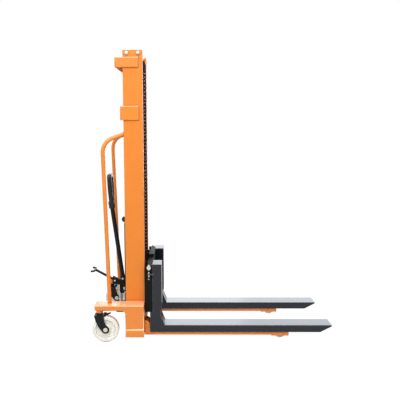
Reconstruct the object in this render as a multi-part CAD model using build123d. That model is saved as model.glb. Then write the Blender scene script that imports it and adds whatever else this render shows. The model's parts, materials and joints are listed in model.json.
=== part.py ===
# Manual hydraulic stacker with a two-stage mast, standing with its forks lowered.
# X runs from the grab bars to the fork tips, Y to the left, Z up from the floor, in millimetres.
# While it is being modelled X = 0 is the front face of the mast; the last lines move the origin
# to the floor under the middle of the machine.
from build123d import *
import math
import os

# Outer mast channels
MAST_TOP = 1963.0
MAST_DEPTH = 130.0
MAST_HALF = 255.0
CHANNEL_FLANGE = 62.0
CHANNEL_WEB = 8.0
CHANNEL_FLANGE_T = 11.0
TOP_BRACKET_DROP = 46.0
TOP_BRACKET_TALL = 67.0
TOP_BRACKET_BACK = 53.0
MID_BRACKET_LOW = 1503.0
MID_BRACKET_TALL = 94.0
MID_BRACKET_BACK = 21.0
BRACKET_FRONT_STOP = 25.0
BRACKET_T = 8.0
BRACKET_BEND = 12.0

# Inner mast rails, which run inside the channels
LIFT_STROKE = 1250.0
RAIL_GAP = 4.0
RAIL_SIDE_GAP = 11.0
RAIL_WIDTH = 46.0
RAIL_WEB = 8.0
RAIL_FLANGE_T = 10.0
RAIL_BOTTOM = 80.0
RAIL_TOP_DROP = 13.0
FOOT_BEAM_TALL = 80.0
FOOT_BEAM_T = 12.0
FOOT_BEAM_LIFT = 5.0
HEAD_BEAM_TALL = 50.0
HEAD_BEAM_DEPTH = 60.0

# Guide rollers and their running clearances
ROLLER_CLEAR = 0.3
ROLLER_SIDE_CLEAR = 1.0
ROLLER_AXLE_R = 12.5
ROLLER_SHOULDER_R = 18.0
ROLLER_SHOULDER_GAP = 0.3
RUNNING_FIT = 0.05
HEAD_ROLLER_DROP = 75.0
FOOT_ROLLER_LIFT = 60.0
FOOT_ROLLER_WIDTH = 22.0
FOOT_ROLLER_TRIM = 10.0
HEAD_BOLT_R = 6.0
HEAD_BOLT_HEAD_R = 11.0
HEAD_BOLT_HEAD_T = 8.0
HEAD_BOLT_DROP = 19.0
HEAD_BOLT_SPACING = 76.0
HEAD_PLATE_GAP = 1.5
HEAD_PLATE_TALL = 112.0
HEAD_PLATE_LONG = 98.0
HEAD_PLATE_DROP = 5.0

# Lift chain and its wheel
CHAIN_PITCH = 25.4
CHAIN_PLATE_TALL = 24.0
CHAIN_PLATE_T = 3.0
CHAIN_GAP = 1.6
CHAIN_PIN_R = 4.5
CHAIN_PIN_HEAD_T = 2.0
CHAIN_X = -2.0
WRAP_LINKS = 6
ANCHOR_SPARE = 20.0
WHEEL_DROP = 83.0
WHEEL_FLANGE_R = 58.0
WHEEL_FLANGE_T = 4.0
WHEEL_SIDE_GAP = 1.0
WHEEL_AXLE_R = 12.5
YOKE_T = 8.0
YOKE_DEPTH = 70.0
YOKE_FLOOR_T = 12.0
YOKE_FLOOR_GAP = 10.0
YOKE_TOP_GAP = 3.0

# Lift cylinder
BARREL_R = 31.5
BARREL_BORE_R = 25.0
BARREL_TOP = 1560.0
BARREL_FLOOR_T = 20.0
GLAND_R = 33.5
GLAND_TALL = 50.0
GLAND_BORE_TALL = 40.0
ROD_R = 20.0
ROD_FOOT = 150.0
PISTON_TALL = 30.0
ANCHOR_COLLAR_TALL = 26.0
ANCHOR_COLLAR_T = 2.0
ANCHOR_EAR_T = 5.0

# Base, legs and caster wings
BASE_HALF = 363.0
BASE_TOP = 257.0
BASE_BOTTOM = 37.0
BASE_DEPTH = 126.0
PLATE_T = 8.0
FLOOR_PLATE_LOW = 45.0
FLOOR_PLATE_T = 12.0
SKIRT_TALL = 57.0
SKIRT_T = 8.0
SKIRT_BEVEL = 8.0
WING_REAR = 335.0
WING_TALL = 35.0
WING_CORNER_R = 26.0
WING_WIDTH = 90.0
BOSS_R = 25.0
BOSS_TALL = 18.0
BOSS_TAPER = 3.0
LEG_WIDTH = 100.0
LEG_WALL = 8.0
LEG_TOP = 84.0
LEG_BOTTOM = 24.0
LEG_END = 995.0
LEG_END_LONG = 124.0
LEG_END_DROP = 6.0
LEG_ROOT_TALL = 42.0
LEG_ROOT_LONG = 36.0
LEG_ROOT_R = 30.0
LOAD_ROLLER_R = 37.0
LOAD_ROLLER_X = 937.0
LOAD_ROLLER_SIDE_GAP = 4.0
LOAD_AXLE_R = 10.0

# Forks and carriage
FORK_SPREAD = 475.0
FORK_WIDTH = 120.0
FORK_TOP = 97.0
FORK_TALL = 50.0
FORK_WALL = 6.0
FORK_TOP_T = 8.0
FORK_TIP_X = 1289.0
FORK_TIP_TAPER = 79.0
FORK_TIP_NOSE = 9.0
SHANK_REAR = 56.0
SHANK_DEPTH = 64.0
SHANK_TOP = 526.0
SHANK_WALL = 8.0
HEEL_TOP = 199.0
HEEL_STEP = 8.0
HEEL_BACK = 18.0
GUSSET_TALL = 71.0
GUSSET_LONG = 29.0
CARRIAGE_TOP = 515.0
CARRIAGE_BOTTOM = 190.0
CARRIAGE_MAST_GAP = 3.0
CARRIAGE_BEAM_DEPTH = 36.0
CARRIAGE_BEAM_TALL = 75.0
END_PLATE_T = 8.0
ROLLER_PLATE_T = 12.0
ROLLER_PLATE_GAP = 10.0
ROLLER_PLATE_REACH = 100.0
CARRIAGE_ROLLER_INSET = 55.0
CLEVIS_HEAD_TALL = 22.0
CLEVIS_HEAD_HALF = 40.0
CLEVIS_EAR_T = 6.0
CLEVIS_EAR_GAP = 0.6
PIN_R = 5.0
PIN_X = 33.0
PIN_FOOT = 422.0
PIN_KNOB_R = 15.0
PIN_KNOB_TALL = 36.0
PIN_LUG_T = 9.0
PIN_LUG_HALF = 10.0
PIN_LUG_STEP = 24.0
PIN_LUG_INSET = 9.0
PIN_LUG_GAP = 0.5
PIN_FIT = 0.1

# Casters
CASTER_INSET = 25.0
CASTER_X = -304.0
CASTER_TRAIL = 42.0
WHEEL_R = 90.0
WHEEL_WIDTH = 50.0
WHEEL_HUB_R = 30.0
WHEEL_HUB_WIDTH = 54.0
WHEEL_RIM = 20.0
WHEEL_WEB = 26.0
WHEEL_EDGE = 6.0
CASTER_AXLE_R = 6.0
CHEEK_GAP = 3.0
CHEEK_T = 5.0
CHEEK_END_R = 26.0
CHEEK_BOW = 9.0
CROWN_T = 6.0
CROWN_TYRE_GAP = 3.0
CROWN_HALF = 34.0
SWIVEL_R = 22.0
SWIVEL_GAP = 0.3
KINGPIN_R = 10.0
KINGPIN_LONG = 44.0
NUT_R = 11.0
NUT_T = 7.0
BRAKE_PAD_LONG = 34.0
BRAKE_PAD_WIDE = 30.0
BRAKE_PAD_T = 4.0
BRAKE_PIN_R = 4.0
BRAKE_EAR_T = 5.0
BRAKE_AHEAD = 8.0

# Grab bars
BAR_R = 13.5
BAR_WALL = 2.5
BAR_FOOT_X = -238.0
BAR_FOOT_INSET = 63.0
BAR_BEND_X = -270.0
BAR_BEND_INSET = 15.0
BAR_BEND_Z = 1360.0
BAR_TOP_INSET = 19.0
BAR_TOP_Z = 1411.0
BAR_BEND_R = 100.0

# Hand pump, its lever and pedal, and the lowering rod
PUMP_PLATE_T = 8.0
PUMP_PLATE_LOW = 100.0
PUMP_PLATE_TALL = 225.0
PUMP_PLATE_HALF = 215.0
PUMP_HALF = 46.0
PUMP_DEPTH = 88.0
PUMP_LOW = 100.0
PUMP_TOP = 160.0
PUMP_EDGE_R = 8.0
PIVOT_BACK = 24.0
PIVOT_Z = 275.0
PIVOT_R = 7.0
CHEEK_PLATE_T = 8.0
CHEEK_PLATE_GAP = 1.0
CHEEK_PLATE_R = 37.0
CHEEK_PLATE_CORNER_R = 14.0
HUB_R = 16.0
HUB_HALF = 20.0
NOSE_ARM = 36.0
NOSE_R = 8.0
NOSE_HALF = 10.0
NOSE_RISE = 25.0
NOSE_GAP = 0.3
PLUNGER_R = 10.4
PLUNGER_COLLAR_R = 16.0
PLUNGER_COLLAR_T = 5.0
PLUNGER_COLLAR_DROP = 42.0
PLUNGER_LONG = 137.0
SPRING_WIRE_R = 2.4
SPRING_COILS = 7
SPRING_SEAT = 0.3
LEVER_LEAN = 7.6
LEVER_BACK = 5.0
LEVER_R = 16.0
LEVER_WALL = 3.0
LEVER_FROM = 44.0
LEVER_TO = 645.0
SOCKET_R = 19.0
SOCKET_FROM = 14.0
SOCKET_TOP = 92.0
GRIP_FROM = 600.0
GRIP_TO = 850.0
GRIP_HALF = 66.0
GRIP_LIMB = 28.0
GRIP_T = 32.0
GRIP_NECK_HALF = 24.0
GRIP_EDGE_R = 9.0
GRIP_TILT = 4.8
PEDAL_RISE = 29.0
PEDAL_FROM = 30.0
PEDAL_LONG = 256.0
PEDAL_LIFT = 4.0
PEDAL_TALL = 16.0
PEDAL_T = 12.0
PEDAL_CHEEK_T = 5.0
PEDAL_CHEEK_LONG = 92.0
PEDAL_CHEEK_RISE = 24.0
PEDAL_CHEEK_DROP = 38.0
PEDAL_CHEEK_R = 8.0
PRONG_SPREAD = 50.0
PRONG_R = 7.0
PRONG_LONG = 26.0
PRONG_BEND_R = 16.0
RELEASE_Y = -38.0
RELEASE_X = -154.0
RELEASE_R = 4.0
RELEASE_FOOT = 124.0
RELEASE_TOP = 780.0
KNOB_R = 16.0
PIPE_R = 6.0
PIPE_BEND_R = 14.0
PIPE_X = -148.0
PIPE_Z = 68.0

SIDES = {"right": -1, "left": 1}

# Sizes that follow from the ones above
mast_mid_x = -MAST_DEPTH / 2
top_bracket_low = MAST_TOP - TOP_BRACKET_DROP - TOP_BRACKET_TALL
channel_groove = MAST_DEPTH - 2 * CHANNEL_FLANGE_T
web_inner = MAST_HALF - CHANNEL_WEB
rail_depth = channel_groove - 2 * RAIL_GAP
rail_groove = rail_depth - 2 * RAIL_FLANGE_T
rail_outer = web_inner - RAIL_SIDE_GAP
rail_inner = rail_outer - RAIL_WIDTH
rail_web_inner = rail_outer - (RAIL_WIDTH + RAIL_WEB) / 2
rail_web_outer = rail_web_inner + RAIL_WEB
rail_top = MAST_TOP - RAIL_TOP_DROP
groove_roller_r = rail_groove / 2 - ROLLER_CLEAR
groove_roller_width = (RAIL_WIDTH - RAIL_WEB) / 2 - 2 * ROLLER_SIDE_CLEAR
foot_roller_r = channel_groove / 2 - ROLLER_CLEAR
foot_roller_z = RAIL_BOTTOM + FOOT_ROLLER_LIFT
head_roller_z = MAST_TOP - HEAD_ROLLER_DROP
wheel_z = MAST_TOP - WHEEL_DROP
chain_half = CHAIN_GAP + 2 * CHAIN_PLATE_T
wheel_pitch_r = CHAIN_PITCH / (2 * math.sin(math.pi / (2 * WRAP_LINKS)))
wheel_x = CHAIN_X - wheel_pitch_r
wheel_half = chain_half + CHAIN_PIN_HEAD_T + WHEEL_SIDE_GAP + WHEEL_FLANGE_T
chain_rear_x = wheel_x - wheel_pitch_r
chain_rear_links = 2 * math.ceil((LIFT_STROKE + ANCHOR_SPARE) / (2 * CHAIN_PITCH)) + 1
chain_front_links = 2 * math.ceil((wheel_z - CARRIAGE_TOP) / (2 * CHAIN_PITCH))
clevis_z = wheel_z - chain_front_links * CHAIN_PITCH
anchor_z = wheel_z - chain_rear_links * CHAIN_PITCH
yoke_floor_top = wheel_z - WHEEL_FLANGE_R - YOKE_FLOOR_GAP
yoke_inner = wheel_half + WHEEL_SIDE_GAP
floor_top = FLOOR_PLATE_LOW + FLOOR_PLATE_T
fork_inner = FORK_WIDTH - 2 * FORK_WALL
carriage_front = SHANK_REAR
carriage_beam_rear = carriage_front - CARRIAGE_BEAM_DEPTH
carriage_half = (FORK_SPREAD + FORK_WIDTH) / 2
roller_plate_outer = rail_inner - ROLLER_PLATE_GAP
carriage_roller_z = {
    "low": CARRIAGE_BOTTOM + CARRIAGE_ROLLER_INSET,
    "high": CARRIAGE_TOP - CARRIAGE_ROLLER_INSET,
}
wing_inner = BASE_HALF - WING_WIDTH
caster_y = BASE_HALF - CASTER_INSET
caster_wheel_x = CASTER_X + CASTER_TRAIL
boss_low = BASE_TOP - WING_TALL - BOSS_TALL
swivel_top = boss_low - SWIVEL_GAP
crown_low = 2 * WHEEL_R + CROWN_TYRE_GAP
brake_x = CASTER_X + CROWN_HALF + BRAKE_AHEAD
brake_z = crown_low + CROWN_T + BRAKE_PIN_R
pump_plate_x = -MAST_DEPTH - PUMP_PLATE_T
pivot_x = pump_plate_x - PIVOT_BACK
nose_angle = math.radians(NOSE_RISE)
nose_x = pivot_x - NOSE_ARM * math.cos(nose_angle)
nose_z = PIVOT_Z + NOSE_ARM * math.sin(nose_angle)
plunger_top = nose_z - NOSE_R - NOSE_GAP
collar_low = plunger_top - PLUNGER_COLLAR_DROP - PLUNGER_COLLAR_T
pedal_angle = math.radians(PEDAL_RISE)
pedal_middle = PEDAL_LIFT + PEDAL_TALL / 2
pedal_end_x = pivot_x - PEDAL_LONG * math.cos(pedal_angle) + pedal_middle * math.sin(pedal_angle)
pedal_end_z = PIVOT_Z + PEDAL_LONG * math.sin(pedal_angle) + pedal_middle * math.cos(pedal_angle)
machine_rear = pedal_end_x - PRONG_LONG
origin_x = (FORK_TIP_X + machine_rear) / 2


def block(x0, x1, y0, y1, z0, z1):
    """Box between two corners."""
    low = Align.MIN
    return Pos(x0, y0, z0) * Box(x1 - x0, y1 - y0, z1 - z0, align=(low, low, low))


def across(side, near, far):
    """Lowest and highest Y of a stretch that lies near to far from the middle plane on one side."""
    return (near, far) if side > 0 else (-far, -near)


def side_block(side, x0, x1, near, far, z0, z1):
    """Box on one side of the middle plane."""
    y0, y1 = across(side, near, far)
    return block(x0, x1, y0, y1, z0, z1)


def rod_y(x, z, radius, y0, y1):
    """Cylinder along Y."""
    return extrude(Plane.XZ.offset(-y1) * Pos(x, z) * Circle(radius), y1 - y0)


def side_rod(side, x, z, radius, near, far):
    """Cylinder along Y on one side of the middle plane."""
    y0, y1 = across(side, near, far)
    return rod_y(x, z, radius, y0, y1)


def rod_z(x, y, radius, z0, z1):
    """Cylinder along Z."""
    return Pos(x, y, z0) * Cylinder(radius, z1 - z0, align=(Align.CENTER, Align.CENTER, Align.MIN))


def outline_y(sketch, y0, y1):
    """Plate cut to an outline in X and Z, lying between two values of Y."""
    return extrude(Plane.XZ.offset(-y1) * sketch, y1 - y0, dir=(0, -1, 0))


def polygon(*points):
    """Closed outline through the points, in place."""
    return Polygon(*points, align=None)


def rounded(sketch, x, z, radius):
    """Outline with its corner at one point rounded."""
    corner = sketch.vertices().sort_by_distance((x, z, 0))[0]
    return fillet(corner, radius)


def base_frame():
    """Floor plate, two side boxes with their caster wings and bosses."""
    wing_low = BASE_TOP - WING_TALL
    frame = block(-BASE_DEPTH, 0, -BASE_HALF + PLATE_T, BASE_HALF - PLATE_T, FLOOR_PLATE_LOW, floor_top)
    profile = polygon(
        (0, BASE_BOTTOM), (0, BASE_TOP), (-WING_REAR, BASE_TOP), (-WING_REAR, wing_low),
        (-BASE_DEPTH, wing_low), (-BASE_DEPTH, BASE_BOTTOM),
    )
    profile = rounded(profile, -BASE_DEPTH, wing_low, WING_CORNER_R)
    skirt = polygon(
        (0, BASE_BOTTOM), (SKIRT_T, BASE_BOTTOM), (SKIRT_T, BASE_BOTTOM + SKIRT_TALL - SKIRT_BEVEL),
        (0, BASE_BOTTOM + SKIRT_TALL),
    )
    for side in SIDES.values():
        inner = BASE_HALF - PLATE_T
        frame += outline_y(profile, *across(side, inner, BASE_HALF))
        strip = extrude(Plane.YZ * Pos(BASE_HALF, 0) * skirt, BASE_DEPTH, dir=(-1, 0, 0))
        frame += strip if side > 0 else mirror(strip, Plane.XZ)
        top_low = BASE_TOP - PLATE_T
        frame += side_block(side, -MAST_DEPTH, 0, MAST_HALF, inner, top_low, BASE_TOP)
        frame += side_block(side, -WING_REAR, -MAST_DEPTH, wing_inner - PLATE_T, inner, top_low, BASE_TOP)
        frame += side_block(side, -PLATE_T, 0, MAST_HALF, inner, floor_top, top_low)
        frame += side_block(side, -BASE_DEPTH, PLATE_T - BASE_DEPTH, MAST_HALF, inner, floor_top, top_low)
        frame += side_block(side, -WING_REAR, -BASE_DEPTH, wing_inner - PLATE_T, wing_inner, wing_low, top_low)
        frame += side_block(side, -WING_REAR, -BASE_DEPTH - WING_CORNER_R, wing_inner, inner,
                            wing_low, wing_low + PLATE_T)
        frame += side_block(side, -WING_REAR, PLATE_T - WING_REAR, wing_inner, inner, wing_low, top_low)
        frame += rod_z(CASTER_X, side * caster_y, BOSS_R, wing_low, top_low)
        taper = Cone(BOSS_R - BOSS_TAPER, BOSS_R, BOSS_TALL, align=(Align.CENTER, Align.CENTER, Align.MIN))
        frame += Pos(CASTER_X, side * caster_y, boss_low) * taper
        frame -= rod_z(CASTER_X, side * caster_y, KINGPIN_R + RUNNING_FIT, boss_low, top_low)
    return frame


def leg(side):
    """Straddle leg: an inverted channel with a raised root and a deeper roller end."""
    middle = FORK_SPREAD / 2
    near = middle - LEG_WIDTH / 2
    far = middle + LEG_WIDTH / 2
    end_start = LEG_END - LEG_END_LONG
    profile = polygon(
        (0, LEG_BOTTOM), (end_start, LEG_BOTTOM), (end_start + LEG_END_DROP, LEG_BOTTOM - LEG_END_DROP),
        (LEG_END, LEG_BOTTOM - LEG_END_DROP), (LEG_END, LEG_TOP), (LEG_ROOT_LONG, LEG_TOP),
        (LEG_ROOT_LONG, LEG_TOP + LEG_ROOT_TALL), (0, LEG_TOP + LEG_ROOT_TALL),
    )
    profile = rounded(profile, LEG_ROOT_LONG, LEG_TOP + LEG_ROOT_TALL, LEG_ROOT_R)
    body = side_block(side, 0, LEG_END, near, far, LEG_TOP - LEG_WALL, LEG_TOP)
    for start in (near, far - LEG_WALL):
        body += outline_y(profile, *across(side, start, start + LEG_WALL))
    body += side_block(side, LEG_END - LEG_WALL, LEG_END, near, far, LEG_BOTTOM, LEG_TOP)
    return body - side_rod(side, LOAD_ROLLER_X, LOAD_ROLLER_R, LOAD_AXLE_R, near, far)


def load_axles():
    """Pins that carry the load rollers, flush with the legs."""
    middle = FORK_SPREAD / 2
    return [side_rod(side, LOAD_ROLLER_X, LOAD_ROLLER_R, LOAD_AXLE_R, middle - LEG_WIDTH / 2,
                     middle + LEG_WIDTH / 2) for side in SIDES.values()]


def load_roller(side):
    """Load roller with rounded rims."""
    half = LEG_WIDTH / 2 - LEG_WALL - LOAD_ROLLER_SIDE_GAP
    middle = FORK_SPREAD / 2
    bore = LOAD_AXLE_R + RUNNING_FIT
    edge = LOAD_ROLLER_SIDE_GAP
    section = polygon(
        (bore, -half), (LOAD_ROLLER_R - edge, -half), (LOAD_ROLLER_R, edge - half),
        (LOAD_ROLLER_R, half - edge), (LOAD_ROLLER_R - edge, half), (bore, half),
    )
    return Pos(LOAD_ROLLER_X, side * middle, LOAD_ROLLER_R) * revolve(section, Axis.Y)


def mast_channel(side):
    """Outer mast channel, open towards the middle, with the two bolt holes of the roller plate."""
    channel = side_block(side, -MAST_DEPTH, 0, MAST_HALF - CHANNEL_FLANGE, MAST_HALF, floor_top, MAST_TOP)
    channel -= side_block(side, -MAST_DEPTH + CHANNEL_FLANGE_T, -CHANNEL_FLANGE_T,
                          MAST_HALF - CHANNEL_FLANGE, web_inner, floor_top, MAST_TOP)
    for x in head_bolt_places():
        channel -= side_rod(side, x, MAST_TOP - HEAD_BOLT_DROP, HEAD_BOLT_R + PIN_FIT, web_inner, MAST_HALF)
    return channel


def head_bolt_places():
    """X of the two bolts at the head of each channel."""
    return (mast_mid_x - HEAD_BOLT_SPACING / 2, mast_mid_x + HEAD_BOLT_SPACING / 2)


def head_roller_plates():
    """Plates inside the channel heads, each with the stub axle of a guide roller."""
    plates = []
    inner = rail_outer + HEAD_PLATE_GAP
    roller_outer = rail_outer - ROLLER_SIDE_CLEAR
    top = MAST_TOP - HEAD_PLATE_DROP
    for side in SIDES.values():
        plate = side_block(side, mast_mid_x - HEAD_PLATE_LONG / 2, mast_mid_x + HEAD_PLATE_LONG / 2,
                           inner, web_inner, top - HEAD_PLATE_TALL, top)
        plate += side_rod(side, mast_mid_x, head_roller_z, ROLLER_SHOULDER_R,
                          roller_outer + ROLLER_SHOULDER_GAP, inner)
        plate += side_rod(side, mast_mid_x, head_roller_z, ROLLER_AXLE_R,
                          roller_outer - groove_roller_width, inner)
        for x in head_bolt_places():
            plate -= side_rod(side, x, MAST_TOP - HEAD_BOLT_DROP, HEAD_BOLT_R + PIN_FIT, inner, web_inner)
        plates.append(plate)
    return plates


def head_bolts():
    """Domed bolts that hold the roller plates."""
    bolts = []
    z = MAST_TOP - HEAD_BOLT_DROP
    for side in SIDES.values():
        for x in head_bolt_places():
            bolt = side_rod(side, x, z, HEAD_BOLT_R, rail_outer + HEAD_PLATE_GAP, MAST_HALF)
            bolt += side_rod(side, x, z, HEAD_BOLT_HEAD_R, MAST_HALF, MAST_HALF + HEAD_BOLT_HEAD_T)
            bolts.append(bolt)
    return bolts


def guide_roller(side, x, z, radius, near, width):
    """Steel guide roller on a stub axle."""
    roller = side_rod(side, x, z, radius, near, near + width)
    roller = chamfer(roller.edges().filter_by(GeomType.CIRCLE), ROLLER_SIDE_CLEAR)
    return roller - side_rod(side, x, z, ROLLER_AXLE_R + RUNNING_FIT, near, near + width)


def mast_bracket(back, low, tall):
    """Bent plate that wraps both channels from behind."""
    rear = -MAST_DEPTH - back
    outer = MAST_HALF + BRACKET_T
    plan = polygon(
        (-BRACKET_FRONT_STOP, -outer), (-BRACKET_FRONT_STOP, -MAST_HALF), (rear + BRACKET_T, -MAST_HALF),
        (rear + BRACKET_T, MAST_HALF), (-BRACKET_FRONT_STOP, MAST_HALF), (-BRACKET_FRONT_STOP, outer),
        (rear, outer), (rear, -outer),
    )
    plan = rounded(plan, rear, outer, BRACKET_BEND)
    plan = rounded(plan, rear, -outer, BRACKET_BEND)
    return Pos(0, 0, low) * extrude(plan, tall, dir=(0, 0, 1))


def inner_rail(side):
    """Inner mast rail of I section; its outer flanges are cut away round the foot roller."""
    back = mast_mid_x - rail_depth / 2
    front = mast_mid_x + rail_depth / 2
    rail = side_block(side, back, front, rail_inner, rail_outer, RAIL_BOTTOM, rail_top)
    groove_back = back + RAIL_FLANGE_T
    groove_front = front - RAIL_FLANGE_T
    rail -= side_block(side, groove_back, groove_front, rail_inner, rail_web_inner, RAIL_BOTTOM, rail_top)
    rail -= side_block(side, groove_back, groove_front, rail_web_outer, rail_outer, RAIL_BOTTOM, rail_top)
    trim_top = foot_roller_z + foot_roller_r + FOOT_ROLLER_TRIM
    rail -= side_block(side, back, front, rail_web_outer, rail_outer, RAIL_BOTTOM, trim_top)
    axle_end = web_inner - ROLLER_SIDE_CLEAR - ROLLER_SIDE_CLEAR
    rail += side_rod(side, mast_mid_x, foot_roller_z, ROLLER_AXLE_R, rail_web_outer, axle_end)
    rail += side_rod(side, mast_mid_x, foot_roller_z, ROLLER_SHOULDER_R, rail_web_outer,
                     axle_end - FOOT_ROLLER_WIDTH - ROLLER_SHOULDER_GAP)
    return rail


def inner_head_beam():
    """Head beam of the inner mast with the yoke of the chain wheel."""
    low = wheel_z - HEAD_BEAM_TALL / 2
    outer = yoke_inner + YOKE_T
    back = wheel_x - YOKE_DEPTH / 2
    front = wheel_x + YOKE_DEPTH / 2
    floor_low = yoke_floor_top - YOKE_FLOOR_T
    beam = block(back, front, -outer, outer, floor_low, yoke_floor_top)
    for side in SIDES.values():
        beam += side_block(side, back, front, yoke_inner, outer, floor_low, wheel_z + WHEEL_FLANGE_R + YOKE_TOP_GAP)
        beam += side_block(side, mast_mid_x - HEAD_BEAM_DEPTH / 2, mast_mid_x + HEAD_BEAM_DEPTH / 2,
                           outer, rail_web_inner, low, low + HEAD_BEAM_TALL)
    return beam - rod_y(wheel_x, wheel_z, WHEEL_AXLE_R, -outer, outer)


def wheel_axle():
    """Pin of the chain wheel, flush with the yoke."""
    return rod_y(wheel_x, wheel_z, WHEEL_AXLE_R, -yoke_inner - YOKE_T, yoke_inner + YOKE_T)


def chain_wheel():
    """Grooved wheel that the leaf chain runs over."""
    root = wheel_pitch_r * math.cos(math.pi / (2 * WRAP_LINKS)) - CHAIN_PLATE_TALL / 2 - ROLLER_CLEAR
    half = wheel_half - WHEEL_FLANGE_T
    bore = WHEEL_AXLE_R + RUNNING_FIT
    section = polygon(
        (bore, -wheel_half), (WHEEL_FLANGE_R, -wheel_half), (WHEEL_FLANGE_R, -half), (root, -half),
        (root, half), (WHEEL_FLANGE_R, half), (WHEEL_FLANGE_R, wheel_half), (bore, wheel_half),
    )
    return Pos(wheel_x, 0, wheel_z) * revolve(section, Axis.Y)


def inner_foot_beam():
    """Foot beam of the inner mast: it passes behind the cylinder and clasps both rails."""
    back = mast_mid_x - rail_depth / 2
    front = mast_mid_x + rail_depth / 2
    rear = back - (MAST_DEPTH - rail_depth) / 2 + RAIL_GAP
    low = RAIL_BOTTOM + FOOT_BEAM_LIFT
    high = low + FOOT_BEAM_TALL
    beam = block(rear, rear + FOOT_BEAM_T, -rail_inner, rail_inner, low, high)
    for side in SIDES.values():
        beam += side_block(side, rear, front, rail_inner - FOOT_BEAM_T, rail_inner, low, high)
    return beam


def lift_cylinder():
    """Cylinder barrel with its closed foot and screwed gland."""
    barrel = rod_z(wheel_x, 0, BARREL_R, floor_top, BARREL_TOP)
    barrel += rod_z(wheel_x, 0, GLAND_R, BARREL_TOP - GLAND_TALL, BARREL_TOP + ROLLER_SIDE_CLEAR)
    barrel -= rod_z(wheel_x, 0, BARREL_BORE_R, floor_top + BARREL_FLOOR_T, BARREL_TOP - GLAND_BORE_TALL)
    return barrel - rod_z(wheel_x, 0, ROD_R + RUNNING_FIT, floor_top + BARREL_FLOOR_T,
                          BARREL_TOP + ROLLER_SIDE_CLEAR)


def lift_rod():
    """Piston rod that carries the inner mast."""
    rod = rod_z(wheel_x, 0, ROD_R, ROD_FOOT, yoke_floor_top - YOKE_FLOOR_T)
    return rod + rod_z(wheel_x, 0, BARREL_BORE_R - RUNNING_FIT, ROD_FOOT, ROD_FOOT + PISTON_TALL)


def chain_anchor():
    """Collar on the barrel with two ears that hold the rear end of the chain."""
    low = anchor_z - ANCHOR_COLLAR_TALL / 2
    high = low + ANCHOR_COLLAR_TALL
    ear_back = chain_rear_x - CHAIN_PLATE_TALL / 2
    inner = chain_half + CHAIN_PIN_HEAD_T + CLEVIS_EAR_GAP
    collar = rod_z(wheel_x, 0, BARREL_R + ANCHOR_COLLAR_T, low, high)
    for side in SIDES.values():
        collar += side_block(side, ear_back, wheel_x, inner, inner + ANCHOR_EAR_T, low, high)
    collar += rod_y(chain_rear_x, anchor_z, CHAIN_PIN_R, chain_half + CHAIN_PIN_HEAD_T, inner)
    collar += rod_y(chain_rear_x, anchor_z, CHAIN_PIN_R, -inner, -chain_half - CHAIN_PIN_HEAD_T)
    return collar - rod_z(wheel_x, 0, BARREL_R, low, high)


def link_outline(start, end):
    """Six-sided outline of a chain plate between two pin centres."""
    along = (end - start).normalized()
    half = CHAIN_PLATE_TALL / 2
    out = along.rotate(Axis.Z, 90) * half
    reach = along * (half - ROLLER_SIDE_CLEAR)
    bevel = reach * 0.3
    corners = [start - bevel + out, end + bevel + out, end + reach, end + bevel - out,
               start - bevel - out, start - reach]
    return polygon(*[(corner.X, corner.Y) for corner in corners])


def outside_plate(side, start, end):
    """Outside plate with the riveted heads of both its pins."""
    y0, y1 = across(side, CHAIN_GAP + CHAIN_PLATE_T, chain_half)
    plate = outline_y(link_outline(start, end), y0, y1)
    y0, y1 = across(side, chain_half, chain_half + CHAIN_PIN_HEAD_T)
    return plate + [outline_y(Pos(pin.X, pin.Y) * RegularPolygon(CHAIN_PIN_R, 4), y0, y1) for pin in (start, end)]


def inside_link(start, end):
    """Two inside plates on their pins."""
    outline = link_outline(start, end)
    link = outline_y(outline, CHAIN_GAP, CHAIN_GAP + CHAIN_PLATE_T)
    plate = outline_y(outline, -CHAIN_GAP - CHAIN_PLATE_T, -CHAIN_GAP)
    stubs = [outline_y(Pos(pin.X, pin.Y) * RegularPolygon(CHAIN_PIN_R, 4), -CHAIN_GAP, CHAIN_GAP)
             for pin in (start, end)]
    return link + [plate] + stubs


def chain_links(pins, first):
    """Leaf chain through the pin centres: plates lie outside and inside by turns."""
    solids = []
    for index, (start, end) in enumerate(zip(pins, pins[1:])):
        if (index + first) % 2 == 0:
            solids += [outside_plate(side, start, end) for side in SIDES.values()]
        else:
            solids.append(inside_link(start, end))
    return solids


def straight_pins(x, links):
    """Pin centres of a straight span, from the wheel down."""
    return [Vector(x, wheel_z - step * CHAIN_PITCH) for step in range(links + 1)]


def chain_front():
    """Front span, from the wheel down to the carriage."""
    return chain_links(straight_pins(CHAIN_X, chain_front_links), 1)


def chain_rear():
    """Rear span, from the wheel down to the anchor."""
    return chain_links(straight_pins(chain_rear_x, chain_rear_links), WRAP_LINKS)


def chain_wrap():
    """Links that lie on the wheel."""
    turn = math.pi / WRAP_LINKS
    pins = [Vector(wheel_x + wheel_pitch_r * math.cos(step * turn), wheel_z + wheel_pitch_r * math.sin(step * turn))
            for step in range(WRAP_LINKS + 1)]
    return chain_links(pins, 0)


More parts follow.
